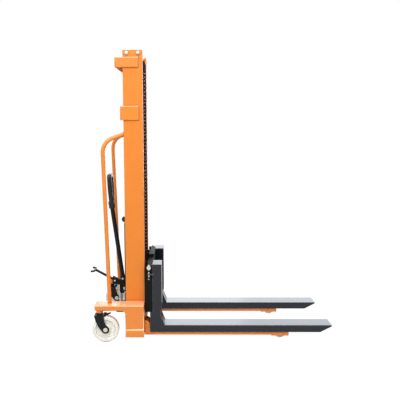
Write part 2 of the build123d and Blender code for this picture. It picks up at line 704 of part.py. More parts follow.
def carriage_frame():
    """Welded carriage: two beams, end plates with pin lugs, and roller plates that reach into the rails."""
    frame = Part()
    roller_inner = rail_inner + ROLLER_SIDE_CLEAR
    for low in (CARRIAGE_BOTTOM, CARRIAGE_TOP - CARRIAGE_BEAM_TALL):
        frame += block(carriage_beam_rear, carriage_front, -carriage_half, carriage_half,
                       low, low + CARRIAGE_BEAM_TALL)
    for side in SIDES.values():
        frame += side_block(side, CARRIAGE_MAST_GAP, carriage_front, carriage_half - END_PLATE_T, carriage_half,
                            CARRIAGE_BOTTOM, CARRIAGE_TOP)
        plate_inner = roller_plate_outer - ROLLER_PLATE_T
        frame += side_block(side, -ROLLER_PLATE_REACH, carriage_beam_rear, plate_inner, roller_plate_outer,
                            CARRIAGE_BOTTOM, CARRIAGE_TOP)
        for z in carriage_roller_z.values():
            frame += side_rod(side, mast_mid_x, z, ROLLER_SHOULDER_R, roller_plate_outer,
                              roller_inner - ROLLER_SHOULDER_GAP)
            frame += side_rod(side, mast_mid_x, z, ROLLER_AXLE_R, roller_plate_outer,
                              roller_inner + groove_roller_width)
        for low in pin_lug_lows()[::2]:
            frame += side_block(side, PIN_X - PIN_LUG_HALF, PIN_X + PIN_LUG_HALF, carriage_half,
                                carriage_half + 2 * PIN_LUG_INSET, low, low + PIN_LUG_T)
        frame -= rod_z(PIN_X, side * (carriage_half + PIN_LUG_INSET), PIN_R + PIN_FIT, CARRIAGE_BOTTOM, CARRIAGE_TOP)
    return frame


def pin_lug_lows():
    """Undersides of the two carriage lugs, with the fork's lug between them."""
    first = PIN_FOOT + PIN_LUG_T
    return (first, first + PIN_LUG_STEP, first + 2 * PIN_LUG_STEP)


def carriage_clevis():
    """Block on the carriage's top beam with the two ears that the chain hangs it from."""
    inner = chain_half + CHAIN_PIN_HEAD_T + CLEVIS_EAR_GAP
    low = clevis_z - CHAIN_PLATE_TALL / 2
    back = CHAIN_X - CHAIN_PLATE_TALL / 2
    clevis = block(carriage_beam_rear, carriage_front, -CLEVIS_HEAD_HALF, CLEVIS_HEAD_HALF,
                   CARRIAGE_TOP, CARRIAGE_TOP + CLEVIS_HEAD_TALL)
    for side in SIDES.values():
        clevis += side_block(side, back, carriage_beam_rear, inner, inner + CLEVIS_EAR_T,
                             low, CARRIAGE_TOP + CLEVIS_HEAD_TALL)
        clevis += side_rod(side, CHAIN_X, clevis_z, CHAIN_PIN_R, chain_half + CHAIN_PIN_HEAD_T, inner)
    return clevis


def fork(side):
    """Fork of folded plate: open underneath, a boxed shank, a gusset in the heel and a tapered tip."""
    middle = FORK_SPREAD / 2
    near = middle - FORK_WIDTH / 2
    far = middle + FORK_WIDTH / 2
    low = FORK_TOP - FORK_TALL
    heel_back = SHANK_REAR - HEEL_BACK
    heel_front = SHANK_REAR + SHANK_DEPTH - HEEL_STEP
    taper_start = FORK_TIP_X - FORK_TIP_TAPER
    blade = polygon(
        (heel_back, low), (taper_start, low), (FORK_TIP_X, FORK_TOP - FORK_TIP_NOSE),
        (FORK_TIP_X, FORK_TOP), (heel_back, FORK_TOP),
    )
    hollow = polygon(
        (heel_back, low), (taper_start - FORK_WALL, low),
        (FORK_TIP_X - FORK_TIP_TAPER / 2, FORK_TOP - FORK_TOP_T), (heel_back, FORK_TOP - FORK_TOP_T),
    )
    gusset = polygon((heel_front, FORK_TOP), (heel_front + GUSSET_LONG, FORK_TOP),
                     (heel_front, FORK_TOP + GUSSET_TALL))
    body = outline_y(blade, *across(side, near, far))
    body -= outline_y(hollow, *across(side, near + FORK_WALL, far - FORK_WALL))
    body += outline_y(gusset, *across(side, near, far))
    body += side_block(side, heel_back, heel_front, near, far, FORK_TOP, CARRIAGE_BOTTOM)
    body += side_block(side, SHANK_REAR, heel_front, near, far, CARRIAGE_BOTTOM, HEEL_TOP)
    body += side_block(side, SHANK_REAR, SHANK_REAR + SHANK_DEPTH, near, far, HEEL_TOP, SHANK_TOP)
    body -= side_block(side, SHANK_REAR + SHANK_WALL, heel_front - SHANK_WALL, near + SHANK_WALL, far - SHANK_WALL,
                       FORK_TOP + SHANK_WALL, SHANK_TOP - SHANK_WALL)
    lug_low = pin_lug_lows()[1]
    body += side_block(side, PIN_X - PIN_LUG_HALF, SHANK_REAR + SHANK_WALL, carriage_half + PIN_LUG_GAP,
                       carriage_half + 2 * PIN_LUG_INSET, lug_low, lug_low + PIN_LUG_T)
    body += side_block(side, SHANK_REAR, SHANK_REAR + SHANK_WALL, carriage_half, carriage_half + PIN_LUG_GAP,
                       lug_low, lug_low + PIN_LUG_T)
    return body - rod_z(PIN_X, side * (carriage_half + PIN_LUG_INSET), PIN_R + PIN_FIT, lug_low, lug_low + PIN_LUG_T)


def fork_pin(side):
    """Drop pin with a flat diamond head that locks a fork to the carriage."""
    top_lug = pin_lug_lows()[2] + PIN_LUG_T
    half = PIN_KNOB_TALL / 2
    diamond = polygon((-PIN_R, 0), (PIN_R, 0), (PIN_KNOB_R, half), (PIN_R / 2, PIN_KNOB_TALL),
                      (-PIN_R / 2, PIN_KNOB_TALL), (-PIN_KNOB_R, half))
    middle = carriage_half + PIN_LUG_INSET
    head = outline_y(Pos(PIN_X, top_lug) * diamond, *across(side, middle - PIN_R, middle + PIN_R))
    return rod_z(PIN_X, side * middle, PIN_R, PIN_FOOT, top_lug) + head


def caster_fork(side):
    """Swivel fork: crown, kingpin, two cheeks that trail back to the axle, and the brake's ears."""
    inner = WHEEL_WIDTH / 2 + CHEEK_GAP
    outer = inner + CHEEK_T
    back = CASTER_X - CROWN_HALF
    front = CASTER_X + CROWN_HALF
    crown_top = crown_low + CROWN_T
    axle = Vector(caster_wheel_x, WHEEL_R)
    rear_end = axle + Vector(-CHEEK_END_R, 0).rotate(Axis.Z, 45)
    front_end = axle + Vector(CHEEK_END_R, 0).rotate(Axis.Z, 60)
    rear_top = Vector(back, crown_top)
    front_top = Vector(front, crown_top)
    cheek = make_face([
        Line(front_top, rear_top), SagittaArc(rear_top, rear_end, -CHEEK_BOW), Line(rear_end, front_end),
        SagittaArc(front_end, front_top, CHEEK_BOW),
    ])
    cheek += Pos(axle.X, axle.Y) * Circle(CHEEK_END_R)
    body = block(back, front, -outer, outer, crown_low, crown_top)
    for start in (-outer, inner):
        body += outline_y(cheek, start, start + CHEEK_T)
    body += rod_z(CASTER_X, 0, SWIVEL_R, crown_top, swivel_top)
    body += rod_z(CASTER_X, 0, KINGPIN_R, swivel_top, swivel_top + KINGPIN_LONG)
    body -= rod_y(caster_wheel_x, WHEEL_R, CASTER_AXLE_R, -outer, outer)
    ear_inner = BRAKE_PAD_WIDE / 2 + ROLLER_SIDE_CLEAR
    for turn in SIDES.values():
        body += side_block(turn, front - CROWN_T, brake_x + BRAKE_PIN_R, ear_inner, ear_inner + BRAKE_EAR_T,
                           crown_low, brake_z + BRAKE_PIN_R)
    body -= rod_y(brake_x, brake_z, BRAKE_PIN_R / 2 + RUNNING_FIT, -outer, outer)
    return Pos(0, side * caster_y, 0) * body


def caster_axle(side):
    """Axle bolt with its head and nut."""
    outer = WHEEL_WIDTH / 2 + CHEEK_GAP + CHEEK_T
    bolt = rod_y(caster_wheel_x, WHEEL_R, CASTER_AXLE_R, -outer, outer)
    for y0 in (-outer - NUT_T, outer):
        bolt += outline_y(Pos(caster_wheel_x, WHEEL_R) * RegularPolygon(NUT_R, 6), y0, y0 + NUT_T)
    return Pos(0, side * caster_y, 0) * bolt


def caster_wheel(side):
    """Moulded wheel with a rim, a thinner web and a hub."""
    half = WHEEL_WIDTH / 2
    hub = WHEEL_HUB_WIDTH / 2
    web = WHEEL_WEB / 2
    rim = WHEEL_R - WHEEL_RIM
    bore = CASTER_AXLE_R + RUNNING_FIT
    section = polygon(
        (bore, -hub), (WHEEL_HUB_R, -hub), (WHEEL_HUB_R + WHEEL_EDGE, -web), (rim - WHEEL_EDGE, -web), (rim, -half),
        (WHEEL_R - WHEEL_EDGE, -half), (WHEEL_R, WHEEL_EDGE - half), (WHEEL_R, half - WHEEL_EDGE),
        (WHEEL_R - WHEEL_EDGE, half), (rim, half), (rim - WHEEL_EDGE, web), (WHEEL_HUB_R + WHEEL_EDGE, web),
        (WHEEL_HUB_R, hub), (bore, hub),
    )
    return Pos(caster_wheel_x, side * caster_y, WHEEL_R) * revolve(section, Axis.Y)


def brake_pedal(side):
    """Foot brake: a pad on a cross pin, above the wheel."""
    half = BRAKE_PAD_WIDE / 2
    pin = BRAKE_PIN_R
    pad = polygon(
        (brake_x, brake_z - BRAKE_PAD_T / 2), (brake_x + BRAKE_PAD_LONG / 2, brake_z - BRAKE_PAD_T / 2),
        (brake_x + BRAKE_PAD_LONG, brake_z + BRAKE_PAD_T), (brake_x + BRAKE_PAD_LONG, brake_z + 2 * BRAKE_PAD_T),
        (brake_x + BRAKE_PAD_LONG / 2, brake_z + BRAKE_PAD_T / 2), (brake_x, brake_z + BRAKE_PAD_T / 2),
    )
    body = outline_y(pad, -half, half) + rod_y(brake_x, brake_z, pin, -half, half)
    reach = half + ROLLER_SIDE_CLEAR + BRAKE_EAR_T
    return Pos(0, side * caster_y, 0) * (body + rod_y(brake_x, brake_z, pin / 2, -reach, reach))


def grab_bar(side):
    """Bent tube from the caster wing up to the back of the mast."""
    foot = Vector(BAR_FOOT_X, BASE_HALF - BAR_FOOT_INSET, BASE_TOP)
    bend = Vector(BAR_BEND_X, foot.Y - BAR_BEND_INSET, BAR_BEND_Z)
    top = Vector(-MAST_DEPTH, MAST_HALF - BAR_TOP_INSET, BAR_TOP_Z)
    foot -= (bend - foot).normalized() * BAR_R
    top += (top - bend).normalized() * BAR_R
    path = FilletPolyline(foot, bend, top, radius=BAR_BEND_R)
    section = Plane(origin=path @ 0, z_dir=path % 0) * (Circle(BAR_R) - Circle(BAR_R - BAR_WALL))
    tube = sweep(section, path)
    tube -= block(-MAST_DEPTH, 0, 0, MAST_HALF, BASE_TOP, MAST_TOP)
    tube -= block(-WING_REAR, 0, 0, BASE_HALF, floor_top, BASE_TOP)
    return tube if side > 0 else mirror(tube, Plane.XZ)


def pump_body():
    """Pump block on its mounting plate, with the valve boss of the lowering rod."""
    front = pump_plate_x
    back = front - PUMP_DEPTH
    body = block(back, front, -PUMP_HALF, PUMP_HALF, PUMP_LOW, PUMP_TOP)
    body = fillet(body.edges().filter_by(Axis.Z), PUMP_EDGE_R)
    body += block(front, -MAST_DEPTH, -PUMP_PLATE_HALF, PUMP_PLATE_HALF,
                  PUMP_PLATE_LOW, PUMP_PLATE_LOW + PUMP_PLATE_TALL)
    body -= rod_z(nose_x, 0, PLUNGER_R + RUNNING_FIT, plunger_top - PLUNGER_LONG - NOSE_ARM, PUMP_TOP)
    body -= rod_z(RELEASE_X, RELEASE_Y, RELEASE_R + PIN_FIT, RELEASE_FOOT, PUMP_TOP)
    return body


def rocker_cheeks():
    """Two ears that hold the rocker, with its pivot pin."""
    inner = HUB_HALF + CHEEK_PLATE_GAP
    outer = inner + CHEEK_PLATE_T
    reach = CHEEK_PLATE_R
    rear = pivot_x - reach
    cheek = polygon((pump_plate_x, PIVOT_Z - reach), (rear, PIVOT_Z - reach), (rear, PIVOT_Z + reach),
                    (pump_plate_x, PIVOT_Z + reach))
    cheek = rounded(cheek, rear, PIVOT_Z - reach, CHEEK_PLATE_CORNER_R)
    cheek = rounded(cheek, rear, PIVOT_Z + reach, CHEEK_PLATE_CORNER_R)
    parts = []
    for side in SIDES.values():
        ear = outline_y(cheek, *across(side, inner, outer))
        parts.append(ear - side_rod(side, pivot_x, PIVOT_Z, PIVOT_R, inner, outer))
    parts.append(rod_y(pivot_x, PIVOT_Z, PIVOT_R, -outer, outer))
    return parts


def lever_place():
    """Place of the lever: its own Z runs up the tube from the pivot."""
    return Pos(pivot_x - LEVER_BACK, 0, PIVOT_Z) * Rot(0, -LEVER_LEAN, 0)


def lever_socket():
    """Outside of the socket that holds the lever tube."""
    base = (Align.CENTER, Align.CENTER, Align.MIN)
    return lever_place() * Pos(0, 0, SOCKET_FROM) * Cylinder(SOCKET_R, SOCKET_TOP - SOCKET_FROM, align=base)


def rocker():
    """Rocker: hub, lever socket and the nose that presses the plunger."""
    body = rod_y(pivot_x, PIVOT_Z, HUB_R, -HUB_HALF, HUB_HALF) + lever_socket()
    base = (Align.CENTER, Align.CENTER, Align.MIN)
    arm = polygon((0, -NOSE_R), (NOSE_ARM, -NOSE_R), (NOSE_ARM, 0), (0, 0))
    arm += Pos(NOSE_ARM, 0) * Circle(NOSE_R)
    body += outline_y(Pos(pivot_x, PIVOT_Z) * Rot(0, 0, 180 - NOSE_RISE) * arm, -NOSE_HALF, NOSE_HALF)
    body -= lever_place() * Pos(0, 0, LEVER_FROM) * Cylinder(LEVER_R, SOCKET_TOP, align=base)
    return body - rod_y(pivot_x, PIVOT_Z, PIVOT_R + RUNNING_FIT, -HUB_HALF, HUB_HALF)


def lever_tube():
    """Pump lever tube."""
    long = LEVER_TO - LEVER_FROM
    base = (Align.CENTER, Align.CENTER, Align.MIN)
    tube = Cylinder(LEVER_R, long, align=base) - Cylinder(LEVER_R - LEVER_WALL, long, align=base)
    return lever_place() * (Pos(0, 0, LEVER_FROM) * tube)


def lever_grip():
    """Moulded loop grip on the end of the lever."""
    shoulder = GRIP_FROM + (GRIP_TO - GRIP_FROM) * 0.5
    outer = polygon(
        (-GRIP_NECK_HALF, GRIP_FROM), (GRIP_NECK_HALF, GRIP_FROM), (GRIP_HALF, shoulder),
        (GRIP_HALF, GRIP_TO), (-GRIP_HALF, GRIP_TO), (-GRIP_HALF, shoulder),
    )
    outer = fillet(outer.vertices().filter_by_position(Axis.Y, shoulder - 1, GRIP_TO + 1), GRIP_LIMB)
    hollow = offset(outer, -GRIP_LIMB)
    ring = extrude(Plane.YZ * (outer - hollow), GRIP_T / 2, both=True)
    edges = ring.edges().filter_by_position(Axis.X, GRIP_T / 2 - 1, GRIP_T / 2 + 1)
    edges += ring.edges().filter_by_position(Axis.X, -GRIP_T / 2 - 1, -GRIP_T / 2 + 1)
    ring = fillet(edges, GRIP_EDGE_R)
    ring = Pos(0, 0, GRIP_FROM) * Rot(0, GRIP_TILT, 0) * Pos(0, 0, -GRIP_FROM) * ring
    ring += Pos(0, 0, GRIP_FROM) * Cylinder(GRIP_NECK_HALF - 1, LEVER_TO - GRIP_FROM + LEVER_WALL,
                                           align=(Align.CENTER, Align.CENTER, Align.MIN))
    ring -= Pos(0, 0, LEVER_FROM) * Cylinder(LEVER_R, LEVER_TO - LEVER_FROM,
                                            align=(Align.CENTER, Align.CENTER, Align.MIN))
    return lever_place() * ring


def pedal_cheek():
    """Outline of the plate that stiffens the root of the pedal bar on each side."""
    end_x = pivot_x - PEDAL_CHEEK_LONG
    end_z = PIVOT_Z + PEDAL_CHEEK_LONG * math.tan(pedal_angle) + pedal_middle / math.cos(pedal_angle)
    low = end_z - PEDAL_CHEEK_DROP
    outline = polygon(
        (pivot_x, low), (end_x, low), (end_x, end_z + PEDAL_CHEEK_RISE), (pivot_x, low + HUB_R),
    )
    return rounded(rounded(outline, end_x, low, PEDAL_CHEEK_R), end_x, end_z + PEDAL_CHEEK_RISE, PEDAL_CHEEK_R)


def foot_pedal():
    """Pedal bar from the rocker, ending in a bent foot rod with two short prongs."""
    high = PEDAL_LIFT + PEDAL_TALL
    bar = polygon((PEDAL_FROM, PEDAL_LIFT), (PEDAL_LONG, PEDAL_LIFT), (PEDAL_LONG, high), (PEDAL_FROM, high))
    place = Pos(pivot_x, PIVOT_Z) * Rot(0, 0, 180 - PEDAL_RISE) * mirror(bar, Plane.XZ)
    pedal = outline_y(place, -PEDAL_T / 2, PEDAL_T / 2)
    for side in SIDES.values():
        pedal += outline_y(pedal_cheek(), *across(side, PEDAL_T / 2, PEDAL_T / 2 + PEDAL_CHEEK_T))
    pedal -= rocker()
    pedal -= lever_socket()
    tip_x = pedal_end_x - PRONG_LONG
    corners = [(tip_x, -PRONG_SPREAD, pedal_end_z), (pedal_end_x, -PRONG_SPREAD, pedal_end_z),
               (pedal_end_x, PRONG_SPREAD, pedal_end_z), (tip_x, PRONG_SPREAD, pedal_end_z)]
    path = FilletPolyline(*corners, radius=PRONG_BEND_R)
    foot_rod = sweep(Plane(origin=path @ 0, z_dir=path % 0) * Circle(PRONG_R), path)
    return pedal + foot_rod


def pump_plunger():
    """Plunger with the collar that its return spring pushes up."""
    plunger = rod_z(nose_x, 0, PLUNGER_R, plunger_top - PLUNGER_LONG, plunger_top)
    return plunger + rod_z(nose_x, 0, PLUNGER_COLLAR_R, collar_low, collar_low + PLUNGER_COLLAR_T)


def plunger_spring():
    """Return spring, drawn as its separate coils."""
    low = PUMP_TOP + SPRING_WIRE_R + SPRING_SEAT
    high = collar_low - SPRING_WIRE_R - SPRING_SEAT
    step = (high - low) / (SPRING_COILS - 1)
    wire = Plane.XZ * Pos(PLUNGER_R + SPRING_SEAT + SPRING_WIRE_R, 0) * RegularPolygon(SPRING_WIRE_R, 6)
    coil = revolve(wire, Axis.Z)
    return [Pos(nose_x, 0, low + index * step) * coil for index in range(SPRING_COILS)]


def oil_pipe():
    """Steel pipe from the pump's underside to the foot of the cylinder."""
    path = FilletPolyline((PIPE_X, 0, PUMP_LOW), (PIPE_X, 0, PIPE_Z), (wheel_x, 0, PIPE_Z), radius=PIPE_BEND_R)
    section = Plane(origin=path @ 0, z_dir=path % 0) * Circle(PIPE_R)
    return sweep(section, path) - rod_z(wheel_x, 0, BARREL_R, floor_top, BASE_TOP)


def release_rod():
    """Rod that lifts the lowering valve."""
    return rod_z(RELEASE_X, RELEASE_Y, RELEASE_R, RELEASE_FOOT, RELEASE_TOP)


def release_knob():
    """Ball knob on the lowering rod."""
    ball = Pos(RELEASE_X, RELEASE_Y, RELEASE_TOP + KNOB_R / 2) * Sphere(KNOB_R)
    return ball - rod_z(RELEASE_X, RELEASE_Y, RELEASE_R, RELEASE_FOOT, RELEASE_TOP)


def all_nodes():
    """Every named piece of the machine."""
    nodes = {
        "base_frame": base_frame(),
        "mast_top_bracket": mast_bracket(TOP_BRACKET_BACK, top_bracket_low, TOP_BRACKET_TALL),
        "mast_mid_bracket": mast_bracket(MID_BRACKET_BACK, MID_BRACKET_LOW, MID_BRACKET_TALL),
        "head_roller_plates": head_roller_plates(),
        "head_bolts": head_bolts(),
        "lift_cylinder": lift_cylinder(),
        "chain_anchor": chain_anchor(),
        "chain_rear": chain_rear(),
        "pump_body": pump_body(),
        "rocker_cheeks": rocker_cheeks(),
        "plunger_spring": plunger_spring(),
        "oil_pipe": oil_pipe(),
        "load_axles": load_axles(),
        "inner_head_beam": inner_head_beam(),
        "inner_foot_beam": inner_foot_beam(),
        "wheel_axle": wheel_axle(),
        "lift_rod": lift_rod(),
        "chain_front": chain_front(),
        "chain_wrap": chain_wrap(),
        "chain_wheel": chain_wheel(),
        "carriage_frame": carriage_frame(),
        "carriage_clevis": carriage_clevis(),
        "rocker": rocker(),
        "lever_tube": lever_tube(),
        "lever_grip": lever_grip(),
        "foot_pedal": foot_pedal(),
        "pump_plunger": pump_plunger(),
        "release_rod": release_rod(),
        "release_knob": release_knob(),
    }
    roller_inner = rail_inner + ROLLER_SIDE_CLEAR
    head_inner = rail_web_outer + ROLLER_SIDE_CLEAR
    foot_inner = web_inner - 2 * ROLLER_SIDE_CLEAR - FOOT_ROLLER_WIDTH
    for name, side in SIDES.items():
        nodes[f"leg_{name}"] = leg(side)
        nodes[f"mast_channel_{name}"] = mast_channel(side)
        nodes[f"grab_bar_{name}"] = grab_bar(side)
        nodes[f"inner_rail_{name}"] = inner_rail(side)
        nodes[f"head_roller_{name}"] = guide_roller(side, mast_mid_x, head_roller_z, groove_roller_r,
                                                    head_inner, groove_roller_width)
        nodes[f"foot_roller_{name}"] = guide_roller(side, mast_mid_x, foot_roller_z, foot_roller_r,
                                                    foot_inner, FOOT_ROLLER_WIDTH)
        for level, z in carriage_roller_z.items():
            nodes[f"carriage_roller_{level}_{name}"] = guide_roller(
                side, mast_mid_x, z, groove_roller_r, roller_inner, groove_roller_width)
        nodes[f"fork_{name}"] = fork(side)
        nodes[f"fork_pin_{name}"] = fork_pin(side)
        nodes[f"load_roller_{name}"] = load_roller(side)
        nodes[f"caster_fork_{name}"] = caster_fork(side)
        nodes[f"caster_axle_{name}"] = caster_axle(side)
        nodes[f"caster_wheel_{name}"] = caster_wheel(side)
        nodes[f"brake_pedal_{name}"] = brake_pedal(side)
    return nodes


def main():
    """Move the origin to the middle of the floor area and write each piece."""
    os.makedirs("parts", exist_ok=True)
    for name, shape in all_nodes().items():
        solids = shape if isinstance(shape, list) else [shape]
        moved = [Pos(-origin_x, 0, 0) * solid for solid in solids]
        whole = moved[0] if len(moved) == 1 else Compound(children=moved)
        export_step(whole, f"parts/{name}.step")


main()
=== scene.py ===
"""Looks of a manual hydraulic stacker truck with a telescopic mast.

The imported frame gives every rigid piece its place. This script gives each piece a finish worked out
from its real material, adds the small fittings that are too fine for the frame, and sets up a plain
studio with the camera of the reference view. Lengths are in metres unless a name says otherwise.
"""
import json
import logging
import math
from contextlib import contextmanager
from dataclasses import dataclass, field, replace
from enum import Enum
from typing import Any, Callable, Iterator

import bmesh
import bpy
from mathutils import Euler, Matrix, Vector


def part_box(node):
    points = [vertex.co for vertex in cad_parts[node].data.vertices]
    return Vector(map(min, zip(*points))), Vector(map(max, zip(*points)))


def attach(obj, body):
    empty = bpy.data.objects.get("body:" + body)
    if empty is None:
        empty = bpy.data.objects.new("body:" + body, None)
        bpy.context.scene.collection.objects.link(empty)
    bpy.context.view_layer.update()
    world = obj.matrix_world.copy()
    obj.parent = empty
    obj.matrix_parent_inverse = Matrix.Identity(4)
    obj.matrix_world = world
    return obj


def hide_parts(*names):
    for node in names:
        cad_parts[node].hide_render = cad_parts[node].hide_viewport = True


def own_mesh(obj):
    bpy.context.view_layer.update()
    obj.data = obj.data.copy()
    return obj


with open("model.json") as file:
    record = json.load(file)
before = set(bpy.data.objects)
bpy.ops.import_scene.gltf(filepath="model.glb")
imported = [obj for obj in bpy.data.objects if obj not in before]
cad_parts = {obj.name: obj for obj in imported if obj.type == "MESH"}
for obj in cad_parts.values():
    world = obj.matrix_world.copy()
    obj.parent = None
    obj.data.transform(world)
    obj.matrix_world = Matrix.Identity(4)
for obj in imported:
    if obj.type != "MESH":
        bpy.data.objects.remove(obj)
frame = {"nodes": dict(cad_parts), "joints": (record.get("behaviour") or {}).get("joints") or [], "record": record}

Piece = bpy.types.Object
Tree = bpy.types.NodeTree
Socket = bpy.types.NodeSocket
Triple = tuple[float, float, float]
Colour = tuple[float, float, float, float]

LOG = logging.getLogger("stacker")
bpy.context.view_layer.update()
MM = 0.001
SIDES = {"right": -1, "left": 1}
WHITE = "#FFFFFF"

# Points nearer to each other than this are one point, in new pieces and in CAD meshes.
MERGE = 0.02 * MM
CAD_MERGE = 0.01 * MM
# Faces that differ by less are one flat face, and edges that turn by more are sharp.
FLAT_ANGLE = math.radians(0.5)
SHARP_ANGLE = math.radians(50)
SMOOTH_ANGLE = math.radians(35)
# Part of a unit normal that lies along an axis when the face looks that way.
FACING = 0.9
FACING_SQUARELY = 0.99


class Slot(Enum):
    """Material slots of the record."""

    ORANGE = "orange_paint"
    BLACK = "black_paint"
    ZINC = "zinc"
    STEEL = "steel"
    CHAIN = "chain_steel"
    CHROME = "hard_chrome"
    NYLON = "white_nylon"
    PLASTIC = "black_plastic"


class Direction(Enum):
    """Unit directions that fittings point along."""

    BACK = (-1.0, 0.0, 0.0)
    LEFT = (0.0, 1.0, 0.0)
    RIGHT = (0.0, -1.0, 0.0)
    UP = (0.0, 0.0, 1.0)
    DOWN = (0.0, 0.0, -1.0)

    def vector(self) -> Vector:
        """Return the direction as a vector."""
        return Vector(self.value)


def outward(side: int) -> Direction:
    """Return the direction that points away from the middle plane on one side."""
    return Direction.LEFT if side > 0 else Direction.RIGHT


# Colour, scale and node helpers


def linear(code: str) -> Colour:
    """Turn an sRGB hex colour into linear light.

    Args:
        code: Six hex digits after a hash sign.

    Returns:
        Linear red, green, blue and an alpha of one.
    """
    parts = [int(code[start:start + 2], 16) / 255 for start in (1, 3, 5)]
    lit = [part / 12.92 if part <= 0.04045 else ((part + 0.055) / 1.055) ** 2.4 for part in parts]
    return lit[0], lit[1], lit[2], 1.0


def per_metre(size_mm: float) -> float:
    """Return the texture scale whose features are about the given size in millimetres."""
    return 1000.0 / size_mm


def add_node(tree: Tree, kind: str, values: dict[Any, Any], **settings: Any) -> bpy.types.Node:
    """Add a node with its settings, values and links.

    Args:
        tree: Node tree that receives the node.
        kind: Blender's name of the node type.
        values: Input sockets by name or number; a socket as value is linked, anything else is set.
        **settings: Attributes of the node.

    Returns:
        The new node.
    """
    node = tree.nodes.new(kind)
    for key, value in settings.items():
        setattr(node, key, value)
    for key, value in values.items():
        if isinstance(value, Socket):
            tree.links.new(value, node.inputs[key])
        else:
            node.inputs[key].default_value = value
    return node


def blank_material(name: str) -> tuple[bpy.types.Material, Tree]:
    """Make a material with an empty node tree.

    Args:
        name: Name of the material.

    Returns:
        The material and its tree.
    """
    material = bpy.data.materials.new(name)
    material.use_nodes = True
    material.node_tree.nodes.clear()
    return material, material.node_tree


# Finishes

# The painted edge highlight starts where the rounded normal leaves the flat one, and is full at a sharp corner.
EDGE_STARTS = 0.995
EDGE_FULL = 0.88
# Upward part of the normal on folds that face up, which get a painted highlight, how far it may differ, and its
# least value on level tops, which are painted lighter.
FOLD_FACING = 0.6
FOLD_SPREAD = 0.35
TOP_FACING = 0.95
# Part of the noise's range that the surface grain fills.
GRAIN_LOW = 0.3
GRAIN_HIGH = 0.7
GRAIN_DETAIL = 2.0
PATCH_DETAIL = 3.0
PATCH_ROUGHNESS = 0.55
BUMP_STRENGTH = 0.6
# Rays that feel for edges and corners.
FEELERS = 6
# How far red, green and blue light travel under a surface that lets light in.
BLEED_MM = (4.0, 3.5, 3.0)


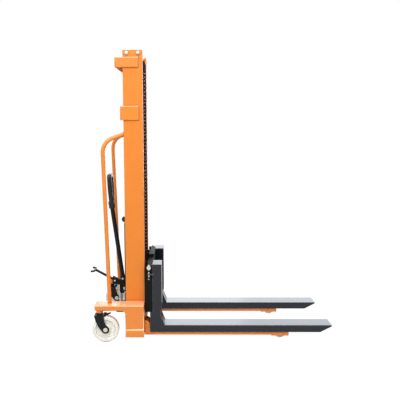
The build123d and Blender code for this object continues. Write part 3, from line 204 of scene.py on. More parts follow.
@dataclass(frozen=True)
class Finish:
    """A surface finish: what every real coating or metal here has in common.

    Attributes:
        name: Name of the material.
        colour: Main sRGB colour.
        second: sRGB colour that the slow variation runs to.
        edge: sRGB colour of the highlight painted along edges.
        roughness: Middle roughness.
        spread: How far the roughness varies either way.
        metallic: One for bare metal, nought for coatings and plastics.
        patch_mm: Size of the slow colour patches.
        grain_mm: Size of the fine surface grain.
        relief_mm: Height of the fine surface grain.
        edge_mm: Radius over which an edge is rounded and shows its painted highlight.
        edge_highlight_share: How much of the painted edge highlight shows.
        upward_highlight_share: How much of it shows on slopes that face up, as painted highlight.
        top_light_share: How much of it shows on level tops, as painted light.
        shade_reach_mm: Reach of the shade painted into corners and seams.
        corner_shade_share: How much the painted shade darkens corners and seams.
        specular: Specular level of the coating.
        coat: Weight of a clear top coat.
        coat_rough: Roughness of the top coat.
        bleed: Weight of light scattered under the surface.
    """

    name: str
    colour: str
    second: str
    edge: str
    roughness: float
    spread: float = 0.05
    metallic: float = 0.0
    patch_mm: float = 150.0
    grain_mm: float = 6.0
    relief_mm: float = 0.05
    edge_mm: float = 2.0
    edge_highlight_share: float = 0.5
    upward_highlight_share: float = 0.0
    top_light_share: float = 0.0
    shade_reach_mm: float = 14.0
    corner_shade_share: float = 0.5
    specular: float = 0.5
    coat: float = 0.0
    coat_rough: float = 0.3
    bleed: float = 0.0

    def colour_socket(self, tree: Tree, place: Socket) -> Socket:
        """Return the slowly varying colour.

        Args:
            tree: Node tree of the material.
            place: Object coordinates.

        Returns:
            Colour output.
        """
        patches = add_node(tree, "ShaderNodeTexNoise", {
            "Vector": place, "Scale": per_metre(self.patch_mm), "Detail": PATCH_DETAIL,
            "Roughness": PATCH_ROUGHNESS})
        mixed = add_node(tree, "ShaderNodeMixRGB", {
            "Fac": patches.outputs["Fac"], "Color1": linear(self.colour), "Color2": linear(self.second)})
        return mixed.outputs["Color"]

    def grain_vector(self, tree: Tree, place: Socket) -> Socket:
        """Return the coordinates that the fine grain is read at."""
        return place

    def rough_socket(self, tree: Tree, place: Socket, grain: Socket) -> Socket:
        """Return the roughness, which varies with the grain.

        Args:
            tree: Node tree of the material.
            place: Object coordinates.
            grain: Height of the fine surface grain.

        Returns:
            Value output.
        """
        rough = add_node(tree, "ShaderNodeMapRange", {
            "Value": grain, "From Min": GRAIN_LOW, "From Max": GRAIN_HIGH,
            "To Min": self.roughness - self.spread, "To Max": self.roughness + self.spread})
        return rough.outputs["Result"]

    def painted_light_socket(self, tree: Tree, rounded: Socket) -> Socket:
        """Return how much of the painted highlight shows.

        Args:
            tree: Node tree of the material.
            rounded: Normal that is rounded at edges.

        Returns:
            Value output, high at edges, on folds that face up and on level tops, where highlight is painted.
        """
        # Edges, folds that face up and level tops are painted lighter, as highlight.
        facing = add_node(tree, "ShaderNodeNewGeometry", {}).outputs["Normal"]
        agree = add_node(tree, "ShaderNodeVectorMath", {0: rounded, 1: facing}, operation="DOT_PRODUCT")
        edge = add_node(tree, "ShaderNodeMapRange", {
            "Value": agree.outputs["Value"], "From Min": EDGE_STARTS, "From Max": EDGE_FULL,
            "To Min": 0.0, "To Max": self.edge_highlight_share})
        upward = add_node(tree, "ShaderNodeSeparateXYZ", {"Vector": facing}).outputs["Z"]
        fold = add_node(tree, "ShaderNodeMath", {
            0: upward, 1: FOLD_FACING, 2: FOLD_SPREAD}, operation="COMPARE")
        fold_highlight = add_node(tree, "ShaderNodeMath", {
            0: fold.outputs[0], 1: self.upward_highlight_share}, operation="MULTIPLY")
        level = add_node(tree, "ShaderNodeMath", {0: upward, 1: TOP_FACING}, operation="GREATER_THAN")
        upward_light = add_node(tree, "ShaderNodeMath", {
            0: level.outputs[0], 1: self.top_light_share, 2: fold_highlight.outputs[0]}, operation="MULTIPLY_ADD")
        painted_light = add_node(tree, "ShaderNodeMath", {
            0: edge.outputs["Result"], 1: upward_light.outputs[0]}, operation="MAXIMUM")
        return painted_light.outputs[0]

    def painted_shade_socket(self, tree: Tree, colour: Socket) -> Socket:
        """Return a colour with shade painted into corners and seams.

        Args:
            tree: Node tree of the material.
            colour: Colour in the open.

        Returns:
            Colour output.
        """
        # Ambient occlusion darkens the colour here: painted shade.
        shut = add_node(tree, "ShaderNodeAmbientOcclusion", {
            "Distance": self.shade_reach_mm * MM}, samples=FEELERS)
        lit = add_node(tree, "ShaderNodeMapRange", {
            "Value": shut.outputs["AO"], "To Min": 1.0 - self.corner_shade_share, "To Max": 1.0})
        toned = add_node(tree, "ShaderNodeVectorMath", {
            0: colour, "Scale": lit.outputs["Result"]}, operation="SCALE")
        return toned.outputs["Vector"]

    def build(self) -> bpy.types.Material:
        """Build the node material.

        Returns:
            The finished material.
        """
        material, tree = blank_material(self.name)
        place = add_node(tree, "ShaderNodeTexCoord", {}).outputs["Object"]
        rounded = add_node(tree, "ShaderNodeBevel", {
            "Radius": self.edge_mm * MM}, samples=FEELERS).outputs["Normal"]
        grain = add_node(tree, "ShaderNodeTexNoise", {
            "Vector": self.grain_vector(tree, place), "Scale": per_metre(self.grain_mm),
            "Detail": GRAIN_DETAIL}).outputs["Fac"]
        bump = add_node(tree, "ShaderNodeBump", {
            "Height": grain, "Distance": self.relief_mm * MM, "Strength": BUMP_STRENGTH,
            "Normal": rounded})
        # The base colour carries painted highlight on edges, upward folds and tops, and painted shade in corners.
        shown = add_node(tree, "ShaderNodeMixRGB", {
            "Fac": self.painted_light_socket(tree, rounded), "Color1": self.colour_socket(tree, place),
            "Color2": linear(self.edge)})
        shader = add_node(tree, "ShaderNodeBsdfPrincipled", {
            "Base Color": self.painted_shade_socket(tree, shown.outputs["Color"]),
            "Roughness": self.rough_socket(tree, place, grain), "Normal": bump.outputs["Normal"],
            "Metallic": self.metallic, "Specular IOR Level": self.specular,
            "Coat Weight": self.coat, "Coat Roughness": self.coat_rough,
            "Subsurface Weight": self.bleed, "Subsurface Scale": 1.0,
            "Subsurface Radius": [reach * MM for reach in BLEED_MM]})
        add_node(tree, "ShaderNodeOutputMaterial", {"Surface": shader.outputs["BSDF"]})
        return material


@dataclass(frozen=True)
class TurnedMetal(Finish):
    """Bare metal turned or drawn along one axis, so its grain is stretched across the other two.

    Attributes:
        stretch: How much finer the grain is along each axis.
    """

    stretch: Triple = (1.0, 12.0, 1.0)

    def grain_vector(self, tree: Tree, place: Socket) -> Socket:
        """Return coordinates squeezed so that the grain runs round the turned axis."""
        squeezed = add_node(tree, "ShaderNodeMapping", {"Vector": place, "Scale": self.stretch})
        return squeezed.outputs["Vector"]


@dataclass(frozen=True)
class HandledEnamel(Finish):
    """Gloss enamel whose upper ends are rubbed dull where hands push the forks along.

    Attributes:
        rubbed_above: Height from which the enamel is dull.
        rubbed: How much rougher it is there.
    """

    rubbed_above: float = 0.0
    rubbed: float = 0.16

    def rough_socket(self, tree: Tree, place: Socket, grain: Socket) -> Socket:
        """Return the roughness, raised at the rubbed ends.

        Args:
            tree: Node tree of the material.
            place: Object coordinates.
            grain: Height of the fine surface grain.

        Returns:
            Value output.
        """
        gloss = super().rough_socket(tree, place, grain)
        split = add_node(tree, "ShaderNodeSeparateXYZ", {"Vector": place})
        high = add_node(tree, "ShaderNodeMath", {
            0: split.outputs["Z"], 1: self.rubbed_above}, operation="GREATER_THAN")
        dull = add_node(tree, "ShaderNodeMath", {
            0: high.outputs[0], 1: self.rubbed, 2: gloss}, operation="MULTIPLY_ADD")
        return dull.outputs[0]


@dataclass(frozen=True)
class PinnedChain(Finish):
    """Oiled leaf chain: dark plates, with the pin heads on its flanks rubbed bright.

    Attributes:
        bright: sRGB colour of the pin heads.
        flank_mm: Distance from the middle plane beyond which only pin heads lie.
    """

    bright: str = "#C4BDB0"
    flank_mm: float = 7.7

    def colour_socket(self, tree: Tree, place: Socket) -> Socket:
        """Return dark plates with bright pin heads.

        Args:
            tree: Node tree of the material.
            place: Object coordinates.

        Returns:
            Colour output.
        """
        plates = super().colour_socket(tree, place)
        split = add_node(tree, "ShaderNodeSeparateXYZ", {"Vector": place})
        depth = add_node(tree, "ShaderNodeMath", {0: split.outputs["Y"]}, operation="ABSOLUTE")
        head = add_node(tree, "ShaderNodeMath", {
            0: depth.outputs[0], 1: self.flank_mm * MM}, operation="GREATER_THAN")
        mixed = add_node(tree, "ShaderNodeMixRGB", {
            "Fac": head.outputs[0], "Color1": plates, "Color2": linear(self.bright)})
        return mixed.outputs["Color"]


# Each finish paints a highlight along its edges in its edge colour, and shade into corners and seams.
# Powder coat over steel: even semi-gloss colour with a soft orange-peel skin, and a highlight painted along
# its edges. The peel is drawn at about four times its real two millimetres so that it shows.
POWDER_COAT = Finish("powder_coat_orange", "#F08A22", "#E9821D", "#FFC592", 0.38, 0.05,
                     grain_mm=8.0, relief_mm=0.08, edge_mm=2.5, edge_highlight_share=0.75, coat=0.4)
# The same coat on the folded base, glossier, with a highlight painted on folds that face up and painted light on
# its level tops.
FOLDED_COAT = replace(POWDER_COAT, name="powder_coat_folded_plate", edge="#FFD8B0", edge_highlight_share=0.2,
                      upward_highlight_share=0.75, top_light_share=0.4, coat=0.6, coat_rough=0.2)
# Inside the brackets the coat is darkened by deep painted shade.
BRACKET_COAT = replace(FOLDED_COAT, name="powder_coat_brackets", shade_reach_mm=320.0, corner_shade_share=0.95,
                       top_light_share=0.0, coat=0.4, coat_rough=0.3)
# The channels are rolled steel, whose coat is flatter.
CHANNEL_COAT = replace(POWDER_COAT, name="powder_coat_channels", colour="#EC8A33", second="#E5822C",
                       edge="#F2A05A", edge_highlight_share=0.3, roughness=0.55, coat=0.0, specular=0.3)
# Gloss enamel on the forks: near-black, so most of what the eye sees is the room mirrored in it.
FORK_ENAMEL = HandledEnamel("gloss_enamel_charcoal", "#0C131D", "#101721", "#A9B0B9", 0.20, 0.015,
                            patch_mm=220.0, grain_mm=14.0, relief_mm=0.012, edge_mm=4.0, edge_highlight_share=0.7,
                            rubbed_above=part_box("fork_right")[1].z - 11 * MM)
# Satin black on pump, lever and casters: deeper and less mirror-like than the enamel.
SATIN_BLACK = Finish("satin_enamel_black", "#0F0F11", "#161516", "#55545A", 0.36, 0.06,
                     patch_mm=90.0, grain_mm=3.0, relief_mm=0.04, edge_highlight_share=0.45, specular=0.25)
# Matt black on carriage and brake pedals, which mirror next to nothing.
MATT_BLACK = Finish("matt_enamel_black", "#0D0D0F", "#131314", "#47464B", 0.62, 0.05,
                    patch_mm=90.0, grain_mm=3.0, relief_mm=0.05, edge_highlight_share=0.45, specular=0.15)
# Bright zinc plate: pale metal with faint warm and cool patches left by the passivate.
ZINC_PLATE = Finish("bright_zinc_plate", "#E2E3E3", "#D8D2C2", "#F4F4F2", 0.32, 0.02, metallic=0.6,
                    patch_mm=14.0, grain_mm=1.5, relief_mm=0.008, edge_mm=0.8, edge_highlight_share=0.4,
                    corner_shade_share=0.2)
# Turned steel of rollers and bearing covers: fine rings from the lathe.
TURNED_STEEL = TurnedMetal("turned_steel", "#C4C5C6", "#B2B4B6", "#DEDFE0", 0.32, 0.08, metallic=0.8,
                           patch_mm=30.0, grain_mm=4.0, relief_mm=0.02, edge_mm=1.0, edge_highlight_share=0.4)
# Oiled chain steel: dark plates with a film of oil.
CHAIN_STEEL = PinnedChain("oiled_chain_steel", "#34353A", "#2A2A2C", "#77767A", 0.38, 0.08, metallic=0.9,
                          patch_mm=40.0, grain_mm=2.0, relief_mm=0.03, edge_mm=0.7, edge_highlight_share=0.35)
# Blackened steel of the chain wheel: dark, with the lathe's rings showing through.
BLACK_STEEL = TurnedMetal("blackened_steel", "#2B2B2D", "#242426", "#5C5C60", 0.40, 0.08, metallic=0.8,
                          patch_mm=40.0, grain_mm=4.0, relief_mm=0.02, edge_mm=1.0, edge_highlight_share=0.4)
# Hard chrome of the ram: a mirror with a trace of the grinding.
HARD_CHROME = TurnedMetal("hard_chrome", "#E4E6E9", "#DADDE1", "#F7F8FA", 0.09, 0.03, metallic=1.0,
                          patch_mm=60.0, grain_mm=5.0, relief_mm=0.008, edge_mm=1.0, edge_highlight_share=0.3,
                          stretch=(1.0, 1.0, 9.0))
# Cast nylon of wheels and load rollers: milky off-white that lets a little light in.
CAST_NYLON = Finish("cast_nylon", "#F6F4EA", "#EFECDF", "#FCFBF6", 0.42, 0.06,
                    patch_mm=35.0, grain_mm=2.5, relief_mm=0.04, edge_mm=1.5, edge_highlight_share=0.5, bleed=0.12)
# Moulded black plastic of grip and knob, with a fine spark-eroded grain.
MOULDED_PLASTIC = Finish("moulded_plastic_black", "#0F0F11", "#151517", "#3A3A3D", 0.40, 0.06,
                         patch_mm=50.0, grain_mm=1.4, relief_mm=0.06, edge_mm=1.5, edge_highlight_share=0.4)

SLOT_FINISH = {
    Slot.ORANGE: POWDER_COAT, Slot.BLACK: SATIN_BLACK, Slot.ZINC: ZINC_PLATE, Slot.STEEL: TURNED_STEEL,
    Slot.CHAIN: CHAIN_STEEL, Slot.CHROME: HARD_CHROME, Slot.NYLON: CAST_NYLON,
    Slot.PLASTIC: MOULDED_PLASTIC,
}
# Nodes whose finish is not their slot's usual one.
OWN_FINISH = {
    "fork_right": FORK_ENAMEL, "fork_left": FORK_ENAMEL, "chain_wheel": BLACK_STEEL,
    "carriage_frame": MATT_BLACK, "carriage_clevis": MATT_BLACK, "base_frame": FOLDED_COAT,
    "load_axles": POWDER_COAT, "brake_pedal_right": MATT_BLACK, "brake_pedal_left": MATT_BLACK,
    "mast_top_bracket": BRACKET_COAT, "mast_mid_bracket": BRACKET_COAT,
    "mast_channel_right": CHANNEL_COAT, "mast_channel_left": CHANNEL_COAT,
}


@dataclass
class Palette:
    """Keeps one material for each finish.

    Attributes:
        made: Materials by the name of their finish.
    """

    made: dict[str, bpy.types.Material] = field(default_factory=dict)

    def get(self, finish: Finish) -> bpy.types.Material:
        """Return the material of a finish, built on first use.

        Args:
            finish: The finish wanted.

        Returns:
            Its material.
        """
        if finish.name not in self.made:
            self.made[finish.name] = finish.build()
        return self.made[finish.name]

    def dress(self, piece: Piece, finish: Finish) -> None:
        """Give a piece one finish all over."""
        piece.data.materials.clear()
        piece.data.materials.append(self.get(finish))


# Modelling helpers


def select_only(*pieces: Piece) -> None:
    """Select these objects alone and make the first one active.

    Args:
        *pieces: Objects to select.
    """
    bpy.ops.object.select_all(action="DESELECT")
    for piece in pieces:
        piece.select_set(True)
    bpy.context.view_layer.objects.active = pieces[0]


@contextmanager
def editing(piece: Piece) -> Iterator[None]:
    """Open a piece in edit mode with nothing selected, and close it afterwards.

    Args:
        piece: Mesh object to edit.
    """
    select_only(piece)
    bpy.ops.object.mode_set(mode="EDIT")
    bpy.ops.mesh.select_all(action="DESELECT")
    yield
    bpy.ops.object.mode_set(mode="OBJECT")


def pick_faces(piece: Piece, test: Callable[[bmesh.types.BMFace], bool]) -> None:
    """Select the faces of a piece in edit mode that pass a test.

    Args:
        piece: Mesh object in edit mode.
        test: Says whether a face is wanted.
    """
    bpy.ops.mesh.select_mode(type="FACE")
    mesh = bmesh.from_edit_mesh(piece.data)
    for face in mesh.faces:
        face.select_set(test(face))
    mesh.select_flush_mode()
    bmesh.update_edit_mesh(piece.data)


def resize_all(piece: Piece, factors: Triple, centre: Triple) -> None:
    """Resize the whole mesh of a piece.

    Args:
        piece: Mesh object.
        factors: Factor along each axis.
        centre: Point that stays where it is.
    """
    with editing(piece):
        bpy.ops.mesh.select_all(action="SELECT")
        bpy.ops.transform.resize(value=factors, center_override=centre)


def settle(piece: Piece, name: str) -> Piece:
    """Put a piece's place into its mesh, merge doubles, turn its faces outwards and smooth its curves.

    Args:
        piece: Mesh object.
        name: Name that it gets.

    Returns:
        The same object.
    """
    select_only(piece)
    bpy.ops.object.transform_apply(location=True, rotation=True, scale=True)
    with editing(piece):
        bpy.ops.mesh.select_all(action="SELECT")
        bpy.ops.mesh.remove_doubles(threshold=MERGE)
        bpy.ops.mesh.normals_make_consistent(inside=False)
    bpy.ops.object.shade_smooth_by_angle(angle=SMOOTH_ANGLE)
    piece.name = name
    piece.data.name = name
    return piece


def join(name: str, pieces: list[Piece]) -> Piece:
    """Join settled pieces into one.

    Args:
        name: Name of the joined piece.
        pieces: Mesh objects, all at the origin.

    Returns:
        The joined object.
    """
    select_only(*pieces)
    if len(pieces) > 1:
        bpy.ops.object.join()
    whole = bpy.context.view_layer.objects.active
    whole.name = name
    whole.data.name = name
    return whole


def turn_to(axis: Vector) -> Euler:
    """Return the rotation that lays local Z along an axis."""
    return axis.to_track_quat("Z", "Y").to_euler()


@dataclass(frozen=True)
class NutSize:
    """Size of a hexagon nut.

    Attributes:
        across: Size over its corners.
        tall: Height.
        stud: Radius of the stud that it sits on.
    """

    across: float
    tall: float
    stud: float


def hex_nut(centre: Vector, axis: Vector, size: NutSize) -> Piece:
    """Model a hexagon nut with chamfered corners and the end of its stud.

    Args:
        centre: Middle of the face it sits on.
        axis: Direction that it points.
        size: Size of the nut.

    Returns:
        The settled nut.
    """
    chamfer = size.tall * 0.16
    stud_tall = size.tall * 0.3
    rim = max(size.across * 0.4 - size.stud, size.across * 0.06)
    bpy.ops.mesh.primitive_cylinder_add(vertices=6, radius=size.across / 2, depth=size.tall,
                                        location=(0, 0, size.tall / 2))
    nut = bpy.context.object
    with editing(nut):
        pick_faces(nut, lambda face: face.normal.z > FACING)
        bpy.ops.mesh.bevel(offset=chamfer, segments=2, affect="EDGES")
        pick_faces(nut, lambda face: face.normal.z > FACING_SQUARELY)
        bpy.ops.mesh.inset(thickness=rim)
        bpy.ops.mesh.extrude_region_move(TRANSFORM_OT_translate={"value": (0, 0, stud_tall)})
    nut.location = centre
    nut.rotation_euler = turn_to(axis)
    return settle(nut, "nut")


def domed_head(centre: Vector, axis: Vector, radius: float, tall: float) -> Piece:
    """Model a domed bolt head on a thin washer.

    Args:
        centre: Middle of the face it sits on.
        axis: Direction that it points.
        radius: Radius of the head.
        tall: Height of the dome.

    Returns:
        The settled head.
    """
    washer = tall * 0.25
    rim = radius * 0.08
    dome = tall - washer
    step = math.radians(16)
    bpy.ops.mesh.primitive_cylinder_add(vertices=28, radius=radius, depth=washer,
                                        location=(0, 0, washer / 2))
    head = bpy.context.object
    with editing(head):
        pick_faces(head, lambda face: face.normal.z > FACING)
        bpy.ops.mesh.inset(thickness=rim)
        for number in range(5):
            low, high = number * step, (number + 1) * step
            rise = dome * (math.sin(high) - math.sin(low))
            shrink = math.cos(high) / math.cos(low)
            bpy.ops.mesh.extrude_region_move(TRANSFORM_OT_translate={"value": (0, 0, rise)})
            bpy.ops.transform.resize(value=(shrink, shrink, 1))
    head.location = centre
    head.rotation_euler = turn_to(axis)
    return settle(head, "head")


def flat_ring(centre: Vector, axis: Vector, inner: float, outer: float, tall: float) -> Piece:
    """Model a washer, seal or clip as a ring with eased edges.

    Args:
        centre: Middle of the face it sits on.
        axis: Direction that it points.
        inner: Inner radius.
        outer: Outer radius.
        tall: Thickness.

    Returns:
        The settled ring.
    """
    wide = outer - inner
    eased = min(tall, wide) * 0.2
    bpy.ops.mesh.primitive_cylinder_add(vertices=40, radius=outer, depth=tall, location=(0, 0, tall / 2))
    ring = bpy.context.object
    with editing(ring):
        pick_faces(ring, lambda face: abs(face.normal.z) > FACING)
        bpy.ops.mesh.inset(thickness=wide)
        bpy.ops.mesh.bridge_edge_loops()
        pick_faces(ring, lambda face: abs(face.normal.z) > FACING)
        bpy.ops.mesh.region_to_loop()
        bpy.ops.mesh.bevel(offset=eased, segments=2, affect="EDGES")
    ring.location = centre
    ring.rotation_euler = turn_to(axis)
    return settle(ring, "ring")


def weld_bead(start: Vector, end: Vector, width: float) -> Piece:
    """Model a fillet weld as a row of overlapping scales.

    Args:
        start: Where the bead begins.
        end: Where it ends.
        width: Width of the bead.

    Returns:
        The settled bead.
    """
    run = end - start
    pitch = width * 0.55
    slim = 0.8
    count = max(2, round(run.length / pitch))
    bpy.ops.mesh.primitive_uv_sphere_add(segments=10, ring_count=6, radius=width / 2, location=start)
    bead = bpy.context.object
    resize_all(bead, (slim, slim, slim), start)
    row = bead.modifiers.new("row", "ARRAY")
    row.count = count
    row.use_relative_offset = False
    row.use_constant_offset = True
    row.constant_offset_displace = run / (count - 1)
    select_only(bead)
    bpy.ops.object.modifier_apply(modifier=row.name)
    return settle(bead, "bead")


def copy_of(node: str, name: str) -> Piece:
    """Copy a CAD node's mesh into a new piece with its doubles merged.

    Args:
        node: Name of the CAD node.
        name: Name of the copy.

    Returns:
        The copy, free of any body.
    """
    source = frame["nodes"][node]
    piece = bpy.data.objects.new(name, source.data.copy())
    bpy.context.scene.collection.objects.link(piece)
    with editing(piece):
        bpy.ops.mesh.select_all(action="SELECT")
        bpy.ops.mesh.remove_doubles(threshold=CAD_MERGE)
    return piece


def eased_copy(node: str, name: str, width: float) -> Piece:
    """Copy a CAD node and round its long outer edges.

    Args:
        node: Name of the CAD node.
        name: Name of the copy.
        width: Width of the rounding.

    Returns:
        The settled copy.
    """
    shortest = 4 * width
    piece = copy_of(node, name)
    with editing(piece):
        bpy.ops.mesh.select_all(action="SELECT")
        bpy.ops.mesh.dissolve_limited(angle_limit=FLAT_ANGLE)
        bpy.ops.mesh.select_all(action="DESELECT")
        bpy.ops.mesh.select_mode(type="EDGE")
        mesh = bmesh.from_edit_mesh(piece.data)
        for edge in mesh.edges:
            sharp = edge.is_manifold and edge.is_convex and edge.calc_face_angle() > SHARP_ANGLE
            edge.select_set(sharp and edge.calc_length() > shortest)
        bmesh.update_edit_mesh(piece.data)
        bpy.ops.mesh.bevel(offset=width, segments=3, affect="EDGES")
    settle(piece, name)
    even = piece.modifiers.new("even", "WEIGHTED_NORMAL")
    even.keep_sharp = True
    bpy.ops.object.modifier_apply(modifier=even.name)
    return piece


def foot_of(node: str) -> tuple[Vector, float]:
    """Find the lowest ring of a CAD node.

    Args:
        node: Name of the CAD node.

    Returns:
        Middle of its lowest points, and their largest distance from it.
    """
    piece = frame["nodes"][node]
    points = [piece.matrix_world @ vertex.co for vertex in piece.data.vertices]
    floor = min(point.z for point in points)
    ring = [point for point in points if point.z < floor + MM]
    low = Vector([min(point[axis] for point in ring) for axis in range(3)])
    high = Vector([max(point[axis] for point in ring) for axis in range(3)])
    return Vector(((low.x + high.x) / 2, (low.y + high.y) / 2, floor)), (high.x - low.x) / 2


def middle_of(node: str) -> Vector:
    """Return the middle of a CAD node's box."""
    low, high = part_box(node)
    return (low + high) / 2


def joint_of(name: str) -> dict[str, Any]:
    """Return the record of one joint."""
    return next(joint for joint in frame["joints"] if joint["name"] == name)


# Sub-assemblies


@dataclass
class SubAssembly:
    """Common ways of a sub-assembly.

    Attributes:
        palette: Materials shared by the whole machine.
    """

    palette: Palette

    def add(self, piece: Piece, body: str, slot: Slot, finish: Finish | None = None) -> Piece:
        """Dress a piece, fix it to a body and report it.

        Args:
            piece: New mesh object.
            body: CAD body that it rides on.
            slot: Material slot of the record.
            finish: Finish, if it isn't the slot's usual one.

        Returns:
            The same object.
        """
        self.palette.dress(piece, finish or SLOT_FINISH[slot])
        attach(piece, body)
        LOG.info("added %s on %s", piece.name, body)
        return piece


@dataclass
class MastFittings(SubAssembly):
    """Rounded base, domed bolt heads, weld beads and bar collars of the outer mast.

    Attributes:
        fold: Rounding of the base's folds.
        dome_tall: Height of a bolt's dome.
        dome_seat: How far below the bolt's end the dome starts.
        dome_growth: Radius of the dome against the bolt's.
        bead: Width of a weld bead.
        collar_wide: Width of the weld round a grab bar's foot.
        collar_tall: Height of that weld.
        collar_sunk: How far that weld reaches into the bar.
    """

    fold: float = 5.0 * MM
    dome_tall: float = 7.5 * MM
    dome_seat: float = 4.0 * MM
    dome_growth: float = 1.06
    bead: float = 6.0 * MM
    collar_wide: float = 4.0 * MM
    collar_tall: float = 4.0 * MM
    collar_sunk: float = 0.5 * MM

    def build_base(self) -> None:
        """Round the folded edges of the base."""
        base = eased_copy("base_frame", "base_frame_folded", self.fold)
        self.add(base, "chassis", Slot.ORANGE, FOLDED_COAT)
        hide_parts("base_frame")

    def build_bolts(self) -> None:
        """Put a dome on each head bolt."""
        low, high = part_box("head_bolts")
        radius = (high.z - low.z) / 2
        dome = radius * self.dome_growth
        domes = []
        for side in SIDES.values():
            for x in (low.x + radius, high.x - radius):
                seat = Vector((x, side * (high.y - self.dome_seat), low.z + radius))
                domes.append(domed_head(seat, outward(side).vector(), dome, self.dome_tall))
        self.add(join("head_bolt_domes", domes), "chassis", Slot.ZINC)

    def build_welds(self) -> None:
        """Run weld beads where brackets, mast feet and legs meet what carries them."""
        beads = []
        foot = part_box("base_frame")[1].z
        channel_low, channel_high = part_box("mast_channel_right")
        for side in SIDES.values():
            mast_y = side * abs(channel_low.y)
            beads.append(weld_bead(Vector((channel_low.x, mast_y, foot)),
                                   Vector((channel_high.x, mast_y, foot)), self.bead))
            for bracket in ("mast_top_bracket", "mast_mid_bracket"):
                low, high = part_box(bracket)
                beads.append(weld_bead(Vector((high.x, mast_y, low.z + self.bead)),
                                       Vector((high.x, mast_y, high.z - self.bead)), self.bead))
        for name in SIDES:
            low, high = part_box(f"leg_{name}")
            beads.append(weld_bead(Vector((low.x, low.y + self.bead, high.z)),
                                   Vector((low.x, high.y - self.bead, high.z)), self.bead))
        self.add(join("mast_welds", beads), "chassis", Slot.ORANGE)

    def build_collars(self) -> None:
        """Ring the foot of each grab bar with its weld."""
        collars = []
        for name in SIDES:
            centre, radius = foot_of(f"grab_bar_{name}")
            collars.append(flat_ring(centre, Direction.UP.vector(), radius - self.collar_sunk,
                                     radius + self.collar_wide, self.collar_tall))
        self.add(join("grab_bar_collars", collars), "chassis", Slot.ORANGE)

    def build(self) -> None:
        """Build all mast fittings."""
        self.build_base()
        self.build_bolts()
        self.build_welds()
        self.build_collars()


@dataclass
class LiftChain(SubAssembly):
    """Leaf chain: a slimmed front run on the inner mast, and a rear tail that the inner mast draws up out of the
    standing run.

    Attributes:
        slim: Width of the front run against its node's, which clears the clevis.
        shrink: Thickness of the rear tail against its node's, so that it lies inside the standing run.
    """

    slim: float = 0.985
    shrink: float = 0.97

    def build_front(self) -> None:
        """Make the front run, which rides on the inner mast in place of its node."""
        run = copy_of("chain_front", "chain_front_run")
        resize_all(run, (1, self.slim, 1), (0, 0, 0))
        self.add(run, "inner_mast", Slot.CHAIN)
        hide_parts("chain_front")
        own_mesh(run)

    def build_rear(self) -> None:
        """Make the rear tail, which the inner mast draws up out of the standing run."""
        tail = copy_of("chain_rear", "chain_rear_tail")
        centre = middle_of("chain_rear")
        resize_all(tail, (self.shrink, self.shrink, 1), (centre.x, 0, centre.z))
        self.add(tail, "inner_mast", Slot.CHAIN)

    def build(self) -> None:
        """Build both runs."""
        self.build_front()
        self.build_rear()


@dataclass
class PumpFittings(SubAssembly):
    """Return spring, mounting bolts and pipe nut of the hand pump.

    Attributes:
        wire: Radius of the spring's wire.
        wire_sides: Facets round the wire.
        turns: Turns of the spring.
        turn_steps: Steps in one turn.
        spring_gap: Gap between pump and spring.
        plate: Thickness of the pump's plate.
        bolt_up: Distance of the bolts from the plate's upper and lower edge.
        bolt_in: Distance of the outer bolts from the plate's side.
        bolt_pitch: Distance from the outer to the inner bolts.
        bolt: Size of a bolt's nut.
        pipe: Radius of the oil pipe.
        union: Size of the nut on that pipe.
    """

    wire: float = 2.4 * MM
    wire_sides: int = 10
    turns: int = 7
    turn_steps: int = 20
    spring_gap: float = 0.3 * MM
    plate: float = 8 * MM
    bolt_up: float = 26 * MM
    bolt_in: float = 12 * MM
    bolt_pitch: float = 110 * MM
    bolt: NutSize = NutSize(19 * MM, 9 * MM, 5 * MM)
    pipe: float = 6 * MM
    union: NutSize = NutSize(20 * MM, 12 * MM, 6.2 * MM)

    def wind_spring(self) -> Piece:
        """Wind the plunger's return spring.

        Returns:
            The settled spring.
        """
        low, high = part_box("plunger_spring")
        centre = (low + high) / 2
        mean = (high.x - low.x) / 2 - self.wire
        bpy.ops.mesh.primitive_circle_add(
            vertices=self.wire_sides, radius=self.wire, fill_type="NGON",
            location=(centre.x + mean, centre.y, low.z + self.wire), rotation=(math.pi / 2, 0, 0))
        spring = bpy.context.object
        bpy.ops.object.transform_apply(location=True, rotation=True, scale=True)
        axis = bpy.data.objects.new("spring_axis", None)
        bpy.context.scene.collection.objects.link(axis)
        axis.location = (centre.x, centre.y, 0)
        bpy.context.view_layer.update()
        winding = spring.modifiers.new("winding", "SCREW")
        winding.object = axis
        winding.angle = 2 * math.pi * self.turns
        winding.screw_offset = high.z - low.z - 2 * self.wire
        winding.steps = winding.render_steps = self.turns * self.turn_steps
        winding.use_merge_vertices = False
        select_only(spring)
        bpy.ops.object.modifier_apply(modifier=winding.name)
        bpy.data.objects.remove(axis)
        with editing(spring):
            bpy.ops.mesh.select_all(action="SELECT")
            bpy.ops.mesh.fill_holes(sides=0)
        return settle(spring, "pump_return_spring")

    def build_spring(self) -> None:
        """Fit the wound spring in place of its node."""
        spring = self.add(self.wind_spring(), "chassis", Slot.ZINC)
        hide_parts("plunger_spring")
        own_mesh(spring)

    def build_bolts(self) -> None:
        """Bolt the pump's plate to the mast and put a nut on its pipe."""
        low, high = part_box("pump_body")
        outer = high.y - self.bolt_in
        nuts = []
        for side in SIDES.values():
            for z in (low.z + self.bolt_up, high.z - self.bolt_up):
                for y in (outer, outer - self.bolt_pitch):
                    seat = Vector((high.x - self.plate, side * y, z))
                    nuts.append(hex_nut(seat, Direction.BACK.vector(), self.bolt))
        seat = Vector((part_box("oil_pipe")[0].x + self.pipe, 0, low.z))
        nuts.append(hex_nut(seat, Direction.DOWN.vector(), self.union))
        self.add(join("pump_bolts", nuts), "chassis", Slot.ZINC)

    def build(self) -> None:
        """Build all pump fittings."""
        self.build_spring()
        self.build_bolts()


